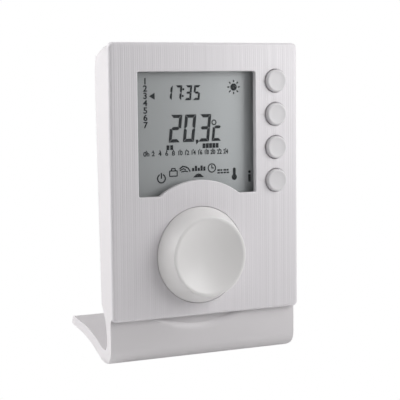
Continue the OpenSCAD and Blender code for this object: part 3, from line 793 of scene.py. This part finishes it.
class THERMOSTAT_OT_cover(bpy.types.Operator):
    """Builds the ribbed front cover with its window, dial seat and button holes"""
    bl_idname = "thermostat.cover"
    bl_label = "Front cover"

    def execute(self, context):
        s = context.scene.thermostat.cover
        shell = Shell()
        front, back = [], []
        outline = rounded_box(COVER_LO.x, COVER_HI.x, COVER_LO.z, COVER_HI.z, s.corner, 10)
        steps = 7
        rings = []
        for k in range(steps + 1):
            a = math.pi / 2 * k / steps
            rings.append(shell.ring(grown(outline, -s.edge * (1 - math.cos(a))), s.edge * (1 - math.sin(a))))
        rings.append(shell.ring(grown(outline, -s.edge - 0.05 * MM), 0))
        wall = [shell.ring(grown(outline, -0.25 * MM), COVER_T), shell.ring(outline, COVER_T - 0.25 * MM)]
        shell.chain(wall + rings)
        front.append(rings[-1])
        back.append(wall[0])

        window = window_outline(s)
        collar = LENS_LO.y - 0.2 * MM
        rings = [shell.ring(grown(window, 1.2 * MM), COVER_T), shell.ring(grown(window, 1.2 * MM), collar),
                 shell.ring(window, collar), *hole_fillet(shell, window, s.window_edge)]
        shell.chain(rings)
        front.append(rings[-1])
        back.append(rings[0])

        for node in BUTTONS:
            x, z, flange = button_middle(node)
            hole = circle(x, z, flange - 0.25 * MM)
            rings = [shell.ring(hole, COVER_T), *hole_fillet(shell, hole, s.button_edge)]
            shell.chain(rings)
            front.append(rings[-1])
            back.append(rings[0])
            x0, x1 = LENS_HI.x - LENS_MARGIN + 1.3 * MM, x - flange - s.button_edge + 0.1 * MM
            tick = rounded_box(x0, x1, z - 0.15 * MM, z + 0.15 * MM, 0.1 * MM, 3)
            rings = [shell.ring(tick, s.tick_depth), *hole_fillet(shell, tick, 0.05 * MM, 2, 0.03 * MM)]
            shell.chain(rings)
            shell.cap(rings[0])
            front.append(rings[-1])

        seat = circle(DIAL_X, DIAL_Z, DIAL_FOOT_R + s.seat_gap, 160)
        hole = circle(DIAL_X, DIAL_Z, s.shaft_hole, 160)
        rings = [shell.ring(hole, COVER_T), shell.ring(hole, s.seat_depth),
                 shell.ring(grown(seat, -0.1 * MM), s.seat_depth),
                 shell.ring(seat, s.seat_depth - 0.1 * MM),
                 *hole_fillet(shell, seat, s.seat_edge)]
        shell.chain(rings)
        front.append(rings[-1])
        back.append(rings[0])
        shell.sheet(front)
        shell.sheet(back)

        lo, hi = extent("board_screws")
        head_r, boss_r, bore_r = 2.1 * MM, 2.4 * MM, 1.1 * MM
        for x in (lo.x + head_r, hi.x - head_r):
            for z in (lo.z + head_r, hi.z - head_r):
                shell.hoop(circle(x, z, boss_r, 48), circle(x, z, bore_r, 48), COVER_T - 0.1 * MM, BOARD_FRONT)
        f = context.scene.thermostat.finish
        plastic = surface("Ribbed cover plastic", f.cover, roughness=0.36, patches=30, amount=0.3,
                          relief=ribbed_relief(s.rib_pitch, s.rib_depth), bump=1.0, distance=0.06 * MM,
                          coat_weight=0.2, coat_roughness=0.2)
        # Painted highlight on the ribs' crests, in a lighter tint of the cover's colour
        rib_crest_highlight(plastic, s.rib_pitch, f.cover)
        piece("cover_shell", shaded(shell.mesh("cover_shell")), plastic, "front_cover")
        return {"FINISHED"}


class THERMOSTAT_OT_dial(bpy.types.Operator):
    """Builds the polished dial with its hollow top"""
    bl_idname = "thermostat.dial"
    bl_label = "Dial"

    def execute(self, context):
        s = context.scene.thermostat.dial
        top, foot = DIAL_LO.y, DIAL_HI.y
        inner = s.rim_radius - s.rim_round
        dish = inner - s.rim_land
        outline = [(dish * k / 24, top + s.hollow * (1 - (k / 24) ** 2)) for k in range(24)]
        outline += bend((dish - 0.25 * MM, top + 0.09 * MM), (dish, top), (dish + 0.3 * MM, top), 4)
        flank = math.atan2(DIAL_FOOT_R - s.rim_radius, foot - top)
        for a in np.linspace(-math.pi / 2, -flank, 8):
            outline.append((inner + s.rim_round * math.cos(a), top + s.rim_round * (1 + math.sin(a))))
        rim = outline[-1]
        low = (DIAL_FOOT_R, foot - 0.3 * MM)
        across, down = low[0] - rim[0], low[1] - rim[1]
        outline += [(rim[0] + across * t, rim[1] + down * t) for t in (0.03, 0.5, 0.97)]
        outline += bend(low, (DIAL_FOOT_R, foot), (DIAL_FOOT_R - 0.25 * MM, foot), 4)
        under = top + s.hollow + s.wall
        outline += [(DIAL_FOOT_R - s.wall, foot), (s.rim_radius - s.wall, under + 0.3 * MM),
                    (s.hub_radius, under + 0.3 * MM), (s.hub_radius, foot), (s.shaft_radius, foot),
                    (s.shaft_radius, under), (0, under)]
        f = context.scene.thermostat.finish
        polished = surface("Polished dial plastic", f.dial, roughness=0.4, patches=25, amount=0.2, bump=0.05,
                           grains=900, coat_weight=0.25, coat_roughness=0.24)
        mesh = lathe("dial_turned", outline, DIAL_X, DIAL_Z, polished, 160)
        piece("dial_turned", shaded(mesh), polished, "dial")
        return {"FINISHED"}


class THERMOSTAT_OT_buttons(bpy.types.Operator):
    """Builds the four round buttons"""
    bl_idname = "thermostat.buttons"
    bl_label = "Buttons"

    def execute(self, context):
        s = context.scene.thermostat.button
        f = context.scene.thermostat.finish
        satin = surface("Satin button plastic", f.button, roughness=0.42, patches=60, amount=0.25, bump=0.06,
                        coat_weight=0.15, coat_roughness=0.25)
        for node in BUTTONS:
            lo, hi = extent(node)
            x, z, flange = button_middle(node)
            front = lo.y
            face = s.radius - s.rim
            outline = [(face * t, front + s.dish * (1 - t ** 4)) for t in (0, 0.35, 0.6, 0.75, 0.87, 0.95)]
            outline += bend((face, front), (s.radius - 0.05 * MM, front), (s.radius, front + s.rim), 8)
            back = COVER_T + 0.05 * MM
            behind = back + s.flange
            outline += [(s.radius, back), (flange, back), (flange, behind), (s.stem, behind), (s.stem, hi.y),
                        (0, hi.y)]
            piece(node + "_cap", shaded(lathe(node + "_cap", outline, x, z, satin, 72)), satin, node)
        return {"FINISHED"}


SEGMENTS = {"0": "abcdef", "1": "bc", "2": "abged", "3": "abgcd", "5": "afgcd", "7": "abc", "c": "ged"}


def digit(which, x, z, w, h, t, slant):
    """The bars of a seven-segment digit whose lower left corner is at x, z, mitred where they meet."""
    gap, mid = 0.07 * t, h / 2
    side = [(0, h - gap), (t, h - t - gap), (t, mid + t / 2 + gap), (t / 2, mid + gap), (0, mid + gap)]
    flat = [(gap, h), (t + gap, h - t), (w - t - gap, h - t), (w - gap, h)]
    middle = [(t / 2 + gap, mid), (t + gap, mid + t / 2), (w - t - gap, mid + t / 2), (w - t / 2 - gap, mid),
              (w - t - gap, mid - t / 2), (t + gap, mid - t / 2)]
    across = {"f": side, "b": [(w - px, pz) for px, pz in reversed(side)], "a": flat}
    down = {low: [(px, h - pz) for px, pz in reversed(across[high])] for low, high in ("ef", "cb", "da")}
    bars = {**across, **down, "g": middle}
    return [[(x + px + slant * pz, z + pz) for px, pz in bars[name]] for name in SEGMENTS[which]]


def wide_stroke(points, width):
    """Short overlapping bars along a line of points."""
    loops = []
    for p, q in zip(points, points[1:]):
        p, q = Vector(p), Vector(q)
        along = (q - p).normalized() * width * 0.3
        side = Vector((along.y, -along.x)).normalized() * width / 2
        start, end = p - along, q + along
        loops.append([tuple(v) for v in (start + side, end + side, end - side, start - side)])
    return loops


class THERMOSTAT_OT_display(bpy.types.Operator):
    """Builds the lens, the display's glass and everything that it shows"""
    bl_idname = "thermostat.display"
    bl_label = "Display"

    def execute(self, context):
        s = context.scene.thermostat.display
        self.front = GLASS_LO.y - 0.07 * MM
        self.back = GLASS_LO.y - 0.015 * MM
        ink = surface("Display ink", s.ink, roughness=0.6, patches=400, amount=0.2, bump=0.02,
                      specular_ior_level=0.1)
        self.glass(s)
        self.lens(s)
        self.marks(s, ink)
        self.numbers(ink)
        self.rows(ink)
        return {"FINISHED"}

    def at(self, u, v):
        """A place given from the panel's left edge and down from its top, in millimetres."""
        return COVER_LO.x + (u + 0.45) * MM, PANEL_HEIGHT - v * MM

    def glass(self, s):
        """The three sheets of the display, with painted light: their colour runs from painted shade at the left to
        lighter at the right.
        """
        material = surface("Display glass with painted light", s.left, roughness=0.32, amount=0.06, patches=60, bump=0.02)
        # Painted light and shade: the colour runs from the darker left tone to the lighter right tone
        tree = material.node_tree
        across = add(tree, "ShaderNodeSeparateXYZ", {0: object_place(tree)}).outputs["X"]
        width = {"Value": across, "From Min": GLASS_LO.x, "From Max": GLASS_HI.x}
        share = add(tree, "ShaderNodeMapRange", width, interpolation_type="SMOOTHSTEP").outputs[0]
        tone = mixed_colour(tree, share, base_colour(material), s.right)
        tree.links.new(tone, principled(material).inputs["Base Color"])
        for node in ("lcd_front_glass", "lcd_rear_glass", "lcd_reflector"):
            shell = Shell()
            lo, hi = extent(node)
            shell.slab(rounded_box(lo.x, hi.x, lo.z, hi.z, 0.3 * MM, 3), lo.y, hi.y)
            piece(node + "_sheet", shell.mesh(node), material, node)

    def lens(self, s):
        """The clear lens, with a small bevel round its front."""
        material = surface("Clear lens", (0.86, 0.88, 0.885), roughness=0.04, gloss_change=0.01, amount=0.05,
                           bump=0.01, ior=1.49, specular_ior_level=0.5)
        principled(material).inputs["Alpha"].default_value = s.lens_alpha
        shell = Shell()
        bevel = 0.15 * MM
        outline = rounded_box(LENS_LO.x, LENS_HI.x, LENS_LO.z, LENS_HI.z, 1 * MM)
        rings = [shell.ring(grown(outline, -bevel), LENS_LO.y), shell.ring(outline, LENS_LO.y + bevel),
                 shell.ring(outline, LENS_HI.y)]
        shell.chain(rings)
        shell.cap(rings[0])
        shell.cap(list(reversed(rings[-1])))
        piece("clear_lens", shaded(shell.mesh("clear_lens")), material, "display_window")

    def marks(self, s, ink):
        """The digits and the small signs."""
        loops, hoops = [], []

        def show(text, u, v, w, h, t):
            x, z = self.at(u, v)
            loops.extend(digit(text, x, z, w * MM, h * MM, t, s.slant))

        small = s.stroke * 0.68
        for text, u in (("1", 24.3), ("7", 28.3), ("3", 32.5), ("5", 36.1)):
            show(text, u, 21.5, 2.75, 5.6, small)
        for text, u in (("2", 25.6), ("0", 31.6), ("3", 38.0)):
            show(text, u, 37.3, 4.75, 10.4, s.stroke)
        show("c", 43.9, 37.2, 4.1, 10.7, s.stroke * 0.9)
        for v in (17.4, 19.9):
            x, z = self.at(31.75 + (19.9 - v) * s.slant, v)
            loops.append(circle(x, z, 0.44 * MM, 12))
        x, z = self.at(37.5, 36.9)
        loops.append([(x - 0.2 * MM, z - 1.5 * MM), (x + 0.55 * MM, z - 0.7 * MM),
                      (x + 0.7 * MM, z + 0.4 * MM), (x - 0.4 * MM, z + 0.4 * MM)])
        x, z = self.at(45.0, 30.1)
        hoops.append((circle(x, z, 1.1 * MM, 32), circle(x, z, 0.66 * MM, 32)))
        # The arrow at the day, and the sun's disc
        x, z = self.at(18.9, 19.85)
        loops.append([(x - 1.25 * MM, z), (x + 1.1 * MM, z - 1.3 * MM), (x + 1.1 * MM, z + 1.3 * MM)])
        x, z = self.at(53.7, 16.75)
        loops.append(circle(x, z, 1.4 * MM, 32))
        # Switched off
        x, z = self.at(22.4, 50.7)
        loops += wide_stroke(arc(x, z, 1.6 * MM, math.radians(118), math.radians(422), 28), 0.46 * MM)
        loops += wide_stroke([(x, z + 0.1 * MM), (x, z + 2.0 * MM)], 0.5 * MM)
        # Away: a suitcase
        x, z = self.at(27.45, 48.9)
        box = rounded_box(x - 1.8 * MM, x + 1.8 * MM, z - 1.3 * MM, z + 1.1 * MM, 0.35 * MM, 4)
        hoops.append((box, grown(box, -0.42 * MM)))
        loops += wide_stroke([(x - 0.8 * MM, z + 1.1 * MM), (x - 0.7 * MM, z + 1.75 * MM),
                              (x + 0.7 * MM, z + 1.75 * MM), (x + 0.8 * MM, z + 1.1 * MM)], 0.44 * MM)
        # By hand
        x, z = self.at(32.3, 47.5)
        loops += wide_stroke([(x - 2.1 * MM, z + 0.2 * MM), (x - 0.9 * MM, z + 1.05 * MM),
                              (x + 0.5 * MM, z + 0.8 * MM), (x + 1.5 * MM, z + 0.2 * MM),
                              (x + 2.2 * MM, z - 0.9 * MM)], 0.52 * MM)
        loops += wide_stroke([(x - 2.0 * MM, z - 0.45 * MM), (x - 0.6 * MM, z + 0.15 * MM),
                              (x + 0.3 * MM, z - 0.2 * MM)], 0.46 * MM)
        loops += wide_stroke([(x - 1.4 * MM, z - 1.0 * MM), (x + 0.2 * MM, z - 0.75 * MM),
                              (x + 1.2 * MM, z - 0.95 * MM)], 0.46 * MM)
        # Steps that the program runs through, and the raised mark under them
        x, z = self.at(38.3, 47.5)
        for k, h in enumerate((1.2, 2.0, 1.2, 2.0, 1.6)):
            loops.append(rectangle(x + (k - 2.42) * 1.2 * MM, x + (k - 1.66) * 1.2 * MM, z - 0.9 * MM,
                                   z + (h - 0.9) * MM))
        x, z = self.at(38.1, 50.05)
        loops.append([(x - 2.3 * MM, z - 0.75 * MM), (x + 2.3 * MM, z - 0.75 * MM),
                      (x + 1.1 * MM, z + 0.35 * MM), (x, z + 0.72 * MM), (x - 1.1 * MM, z + 0.35 * MM)])
        # The clock
        x, z = self.at(43.9, 47.5)
        hoops.append((circle(x, z, 1.8 * MM, 40), circle(x, z, 1.36 * MM, 40)))
        loops += wide_stroke([(x, z + 1.0 * MM), (x, z), (x + 0.8 * MM, z)], 0.42 * MM)
        # A list to be set
        x, z = self.at(48.8, 49.0)
        for k, w in enumerate((1.2, 0.8, 1.2, 0.9)):
            x0 = x + (-2.5 + 1.35 * k) * MM
            loops.append(rectangle(x0, x0 + w * 0.9 * MM, z + 0.25 * MM, z + 0.9 * MM))
            loops.append(rectangle(x0, x0 + 1.05 * MM, z - 0.75 * MM, z - 0.15 * MM))
        # The thermometer
        x, z = self.at(53.7, 50.1)
        loops.append(circle(x, z - 1.25 * MM, 1.15 * MM, 32))
        tube = rectangle(x - 0.6 * MM, x + 0.6 * MM, z - 0.4 * MM, z + 2.4 * MM)
        loops.append(softened(tube, {2, 3}, 0.5 * MM, 5))
        # More
        x, z = self.at(60.4, 51.3)
        loops.append(circle(x + 0.05 * MM, z + 1.75 * MM, 0.56 * MM, 24))
        loops.append(rectangle(x - 0.52 * MM, x + 0.52 * MM, z - 2.1 * MM, z + 0.8 * MM))
        shell = Shell()
        for loop in loops:
            shell.slab(loop, self.front, self.back)
        for outer, inner in hoops:
            shell.hoop(outer, inner, self.front, self.back)
        marking("display_marks", shell.mesh("display_marks"), ink, "thermostat")

    def numbers(self, ink):
        """The days and the hours, in plain figures."""
        wanted = [(str(k + 1), 16.1, 15.35 + 2.71 * k, 2.25, 1.1) for k in range(7)]
        wanted += [("0h" if k == 0 else str(2 * k), 16.3 + 2.81 * k, 42.15, 1.65, 0.9 if k > 4 else 1.1)
                   for k in range(13)]
        bm = bmesh.new()
        for text, u, v, size, squeeze in wanted:
            x, z = self.at(u, v)
            line = bpy.data.curves.new("figure", "FONT")
            line.body, line.align_x, line.extrude = text, "CENTER", 0.5
            line.offset = 0.025
            obj = bpy.data.objects.new("figure", line)
            mesh = bpy.data.meshes.new_from_object(obj)
            height = size / 0.7 * MM
            thick = self.back - self.front
            turn = Matrix.Rotation(math.pi / 2, 4, "X")
            place = Matrix.Translation((x, (self.front + self.back) / 2, z))
            mesh.transform(PANEL @ place @ Matrix.Diagonal((height * squeeze, thick, height, 1)) @ turn)
            bm.from_mesh(mesh)
            bpy.data.objects.remove(obj)
            bpy.data.meshes.remove(mesh)
        bmesh.ops.remove_doubles(bm, verts=bm.verts, dist=1e-7)
        bmesh.ops.recalc_face_normals(bm, faces=bm.faces)
        mesh = bpy.data.meshes.new("display_figures")
        bm.to_mesh(mesh)
        bm.free()
        marking("display_figures", mesh, ink, "thermostat")

    def row(self, name, loop, count, u, v, step, ink):
        """A row of one mark, centred on its first place."""
        x, z = self.at(u, v)
        shell = Shell()
        shell.slab(loop, self.front, self.back)
        mesh = shell.mesh(name)
        mesh.transform(Matrix.Translation(-PANEL.translation))
        made = grown_mesh(name, mesh, row_tree, count=count, start=tuple(PANEL @ Vector((x, 0, z))),
                          step=(step * MM, 0, 0), finish=ink)
        marking(name, made, ink, "thermostat")

    def rows(self, ink):
        """What repeats: the scale's ticks, the heated hours and the sun's rays."""
        tick = rectangle(-0.17 * MM, 0.17 * MM, -0.3 * MM, 0.3 * MM)
        self.row("hour_ticks", tick, 13, 16.3, 40.35, 2.81, ink)
        block = rectangle(-0.6 * MM, 0.6 * MM, -0.9 * MM, 0.9 * MM)
        self.row("morning_hours", block, 2, 25.3, 39.2, 1.55, ink)
        self.row("evening_hours", block, 5, 40.6, 38.9, 1.42, ink)
        x, z = self.at(53.7, 16.75)
        shell = Shell()
        ray = rectangle(x + 1.85 * MM, x + 2.75 * MM, z - 0.26 * MM, z + 0.26 * MM)
        shell.slab(ray, self.front, self.back)
        made = grown_mesh("sun_rays", shell.mesh("sun_rays"), fan_tree, count=8,
                          centre=tuple(PANEL @ Vector((x, 0, z))), axis=tuple(OUT), finish=ink)
        marking("sun_rays", made, ink, "thermostat")


class THERMOSTAT_OT_case(bpy.types.Operator):
    """Builds the stand and the rear housing with rounded edges"""
    bl_idname = "thermostat.case"
    bl_label = "Stand and housing"

    def execute(self, context):
        s, f = context.scene.thermostat.case, context.scene.thermostat.finish
        stand = surface("Stand plastic", f.stand, roughness=0.34, patches=28, amount=0.3, bump=0.1,
                        grains=1500, coat_weight=0.1, coat_roughness=0.25)
        piece("stand_rounded", rounded_copy("stand", s.stand_edge), stand, "stand")
        housing = surface("Housing plastic", f.housing, roughness=0.46, patches=28, amount=0.3, bump=0.3,
                          grains=2600, distance=0.04 * MM)
        piece("housing_rounded", rounded_copy("rear_housing", s.housing_edge), housing, "rear_housing")
        return {"FINISHED"}


class THERMOSTAT_OT_batteries(bpy.types.Operator):
    """Builds the two cells and their springs"""
    bl_idname = "thermostat.batteries"
    bl_label = "Batteries"

    def execute(self, context):
        s, f = context.scene.thermostat.case, context.scene.thermostat.finish
        for node, way in CELLS.items():
            self.cell(node, way, f)
        self.springs(s)
        return {"FINISHED"}

    def cell(self, node, way, f):
        """One cell, turned about its length, with its button at the plus end."""
        lo, hi = extent(node)
        r, y, z = (hi.z - lo.z) / 2, (lo.y + hi.y) / 2, (lo.z + hi.z) / 2
        plus = hi.x if way > 0 else lo.x
        outline = [(0, 0), (1.6 * MM, 0), (1.9 * MM, 0.2 * MM), (1.9 * MM, 0.9 * MM), (3.4 * MM, 0.95 * MM),
                   (3.7 * MM, 1.1 * MM), (4.4 * MM, 0.92 * MM), (r - 0.25 * MM, 1.0 * MM), (r, 1.3 * MM)]
        long = hi.x - lo.x
        outline += [(r, long * t) for t in (0.25, 0.5, 0.75)]
        outline += [(r, long - 0.5 * MM), (r - 0.3 * MM, long - 0.1 * MM), (r - 0.8 * MM, long - 0.05 * MM),
                    (r - 1.1 * MM, long - 0.3 * MM), (0, long - 0.3 * MM)]
        drawn = drawn_line(node, [(plus - way * along, y, z + radius) for radius, along in outline])
        sleeve = self.sleeve(node, plus, way, f)
        mesh = grown_mesh(node + "_cell", drawn, turned_tree, centre=tuple(PANEL @ Vector((0, y, z))),
                          axis=tuple(RIGHT), segments=72, finish=sleeve)
        piece(node + "_cell", shaded(mesh), sleeve, node)

    def sleeve(self, node, plus, way, f):
        """A printed sleeve on a bright steel can, in two plain bands."""
        material = surface("Sleeve of " + node.replace("_", " "), (0.62, 0.63, 0.65), roughness=0.24,
                           relief=drawn_relief((1500, 60, 60)), bump=0.04)
        tree = material.node_tree
        shader = principled(material)
        across = add(tree, "ShaderNodeSeparateXYZ", {0: object_place(tree)}).outputs["X"]
        along = calc(tree, "MULTIPLY", calc(tree, "SUBTRACT", across, plus), -way)
        inside = calc(tree, "MULTIPLY", calc(tree, "GREATER_THAN", along, 1.35 * MM),
                      calc(tree, "LESS_THAN", along, 43.9 * MM))
        band = calc(tree, "LESS_THAN", along, 13 * MM)
        paint = mixed_colour(tree, band, f.label, (0.72, 0.36, 0.07))
        printed = mixed_colour(tree, inside, base_colour(material), paint)
        tree.links.new(printed, shader.inputs["Base Color"])
        tree.links.new(calc(tree, "SUBTRACT", 1.0, inside), shader.inputs["Metallic"])
        return material

    def springs(self, s):
        """One conical spring behind each cell's minus end."""
        metal = surface("Nickel plated wire", (0.72, 0.71, 0.68), roughness=0.22, metallic=1.0,
                        relief=drawn_relief((900, 900, 900)), bump=0.05)
        wire = 0.35 * MM
        for node, way in CELLS.items():
            lo, hi = extent(node)
            minus = lo.x if way > 0 else hi.x
            wall = extent("cell_springs")[0 if way > 0 else 1].x
            # The coil's tree draws its own curve, so it needs only a mesh to stand on
            seed = drawn_line("seed", [(0, 0, 0), (0, 0, MM)])
            y, z = (lo.y + hi.y) / 2, (lo.z + hi.z) / 2
            made = grown_mesh(f"{node}_spring", seed, coil_tree, turns=s.coil_turns,
                              length=abs(minus - wall) - 2 * wire,
                              place=tuple(PANEL @ Vector((wall + way * wire, y, z))),
                              turn=(0, way * math.pi / 2, 0), finish=metal)
            obj = marking(f"{node}_spring", shaded(made, 60), metal, "thermostat")
            if way > 0:
                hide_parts("cell_springs")


class THERMOSTAT_OT_inside(bpy.types.Operator):
    """Gives the parts inside their finishes"""
    bl_idname = "thermostat.inside"
    bl_label = "Parts inside"

    def execute(self, context):
        tin = dict(roughness=0.28, metallic=1.0, bump=0.06)
        finishes = {
            "window_tape": surface("Foam tape", (0.02, 0.02, 0.021), roughness=0.8, grains=4000, bump=0.4),
            "lcd_frame": surface("Frame plastic", (0.7, 0.7, 0.7), roughness=0.5),
            "zebra_strip": surface("Contact rubber", (0.05, 0.05, 0.06), roughness=0.7,
                                   relief=drawn_relief((9000, 10, 10)), bump=0.3),
            "main_board": surface("Board lacquer", (0.012, 0.12, 0.045), (0.02, 0.2, 0.08), roughness=0.3,
                                  patches=500, amount=0.9, bump=0.15, coat_weight=0.3),
            "microcontroller": surface("Chip resin", (0.018, 0.018, 0.018), roughness=0.55, bump=0.2),
            "radio_module": surface("Tinned screen", (0.66, 0.66, 0.64), **tin),
            "antenna": surface("Bare wire", (0.72, 0.52, 0.25), roughness=0.3, metallic=1.0),
            "crystal": surface("Crystal can", (0.7, 0.7, 0.7), **tin),
            "capacitors": surface("Capacitor sleeve", (0.015, 0.02, 0.055), roughness=0.35, coat_weight=0.3),
            "resistors": surface("Resistor body", (0.03, 0.03, 0.032), roughness=0.5),
            "temperature_sensor": surface("Sensor bead", (0.5, 0.16, 0.03), roughness=0.35),
            "switch_bodies": surface("Switch body", (0.03, 0.03, 0.032), roughness=0.5),
            "encoder_shaft": surface("Turned shaft", (0.7, 0.7, 0.71), roughness=0.3, metallic=1.0,
                                     relief=drawn_relief((600, 600, 60))),
            "encoder_body": surface("Encoder body", (0.05, 0.05, 0.055), roughness=0.45),
            "board_screws": surface("Zinc plated screw", (0.62, 0.62, 0.6), roughness=0.35, metallic=1.0),
            "cell_contacts": surface("Nickel plated strip", (0.74, 0.72, 0.68), roughness=0.25, metallic=1.0,
                                     relief=drawn_relief((60, 60, 1500)), bump=0.08),
        }
        plunger = surface("Plunger plastic", (0.05, 0.05, 0.05), roughness=0.45)
        finishes.update({f"switch_plunger_{k}": plunger for k in range(1, 5)})
        for node, finish in finishes.items():
            obj = frame["nodes"][node]
            for slot in obj.material_slots:
                slot.material = finish
            if not obj.material_slots:
                raise RuntimeError(f"{node} has no material slot")
        return {"FINISHED"}


class THERMOSTAT_OT_stage(bpy.types.Operator):
    """Sets up the floor, the lights and the camera"""
    bl_idname = "thermostat.stage"
    bl_label = "Stage"

    def execute(self, context):
        s = context.scene.thermostat.stage
        self.camera(context, s)
        self.floor(s)
        world = bpy.data.worlds.new("Room")
        world.use_nodes = True
        world.node_tree.nodes["Background"].inputs["Color"].default_value = (1, 1, 1, 1)
        world.node_tree.nodes["Background"].inputs["Strength"].default_value = s.surround
        backdrop = add(world.node_tree, "ShaderNodeBackground", {"Color": (1, 1, 1, 1), "Strength": s.floor_glow})
        self.seen_as(world.node_tree, "Background", backdrop, "World Output")
        context.scene.world = world
        context.scene.view_settings.view_transform = "Standard"
        middle = Vector((0, 0, 0.06))
        self.light("Key", Vector((0.2, -0.14, 0.22)), middle, 0.22, s.key)
        self.light("Side", Vector((-0.55, 0.24, 0.36)), middle, 0.5, s.side)
        self.light("Top", Vector((-0.1, 0.25, 0.7)), middle, 0.5, s.top)
        return {"FINISHED"}

    def seen_as(self, tree, lit, seen, end):
        """Shows one shader to the camera, and leaves the other to light the scene."""
        path = add(tree, "ShaderNodeLightPath")
        mix = add(tree, "ShaderNodeMixShader", {0: path.outputs["Is Camera Ray"]})
        tree.links.new(tree.nodes[lit].outputs[0], mix.inputs[1])
        tree.links.new(seen.outputs[0], mix.inputs[2])
        tree.links.new(mix.outputs[0], tree.nodes[end].inputs["Surface"])

    def camera(self, context, s):
        """The camera, placed by the point that it looks at."""
        ahead = Vector((math.sin(s.azimuth) * math.cos(s.drop), math.cos(s.azimuth) * math.cos(s.drop),
                        -math.sin(s.drop)))
        level = ahead.cross(Vector((0, 0, 1))).normalized()
        top = math.cos(s.roll) * level.cross(ahead) + math.sin(s.roll) * level
        turn = Matrix((ahead.cross(top), top, -ahead)).transposed().to_4x4()
        data = bpy.data.cameras.new("Camera")
        data.lens, data.sensor_width, data.clip_start = s.lens, 36, 0.01
        camera = bpy.data.objects.new("Camera", data)
        aim = PANEL @ Vector((s.aim_x, 0, s.aim_z))
        camera.matrix_world = Matrix.Translation(aim - ahead * s.distance) @ turn
        context.scene.collection.objects.link(camera)
        context.scene.camera = camera

    def floor(self, s):
        """A pale floor just under the stand."""
        mesh = bpy.data.meshes.new("Floor")
        half, under = 6, -1e-4
        corners = [(x, y, under) for x, y in rectangle(-half, half, -half, half)]
        mesh.from_pydata(corners, [], [(0, 1, 2, 3)])
        material = surface("Pale floor", (0.86, 0.86, 0.86), roughness=0.7, patches=2, amount=0.02, bump=0.0)
        tree = material.node_tree
        seen = add(tree, "ShaderNodeEmission", {"Color": (1, 1, 1, 1), "Strength": s.floor_glow})
        self.seen_as(tree, "Principled BSDF", seen, "Material Output")
        mesh.materials.append(material)
        floor = bpy.data.objects.new("Floor", mesh)
        bpy.context.scene.collection.objects.link(floor)

    def light(self, name, place, aim, size, power):
        """A square soft light that faces a point."""
        data = bpy.data.lights.new(name, "AREA")
        data.shape, data.size, data.energy = "SQUARE", size, power
        obj = bpy.data.objects.new(name, data)
        obj.location = place
        obj.rotation_euler = (aim - place).to_track_quat("-Z", "Y").to_euler()
        bpy.context.scene.collection.objects.link(obj)


class THERMOSTAT_PT_panel(bpy.types.Panel):
    """The thermostat's sizes, colours and pieces"""
    bl_label = "Thermostat"
    bl_idname = "THERMOSTAT_PT_panel"
    bl_space_type = "VIEW_3D"
    bl_region_type = "UI"
    bl_category = "Thermostat"

    def draw(self, context):
        settings = context.scene.thermostat
        for part, operator in PARTS:
            box = self.layout.box()
            if part:
                sizes = getattr(settings, part)
                for key in sizes.__annotations__:
                    box.prop(sizes, key)
            box.operator(operator.bl_idname)


PARTS = (("cover", THERMOSTAT_OT_cover), ("dial", THERMOSTAT_OT_dial), ("button", THERMOSTAT_OT_buttons),
         ("display", THERMOSTAT_OT_display), ("case", THERMOSTAT_OT_case), ("finish", THERMOSTAT_OT_batteries),
         ("", THERMOSTAT_OT_inside), ("stage", THERMOSTAT_OT_stage))
CLASSES = (CoverSettings, DialSettings, ButtonSettings, DisplaySettings, CaseSettings, FinishSettings,
           StageSettings, ThermostatSettings, *(operator for _, operator in PARTS), THERMOSTAT_PT_panel)


def register():
    for cls in CLASSES:
        bpy.utils.register_class(cls)
    bpy.types.Scene.thermostat = PointerProperty(type=ThermostatSettings)


def unregister():
    del bpy.types.Scene.thermostat
    for cls in reversed(CLASSES):
        bpy.utils.unregister_class(cls)


def main():
    register()
    bpy.ops.thermostat.stage()
    bpy.ops.thermostat.cover()
    bpy.ops.thermostat.dial()
    bpy.ops.thermostat.buttons()
    bpy.ops.thermostat.display()
    bpy.ops.thermostat.case()
    bpy.ops.thermostat.batteries()
    bpy.ops.thermostat.inside()


if __name__ == "__main__":
    main()
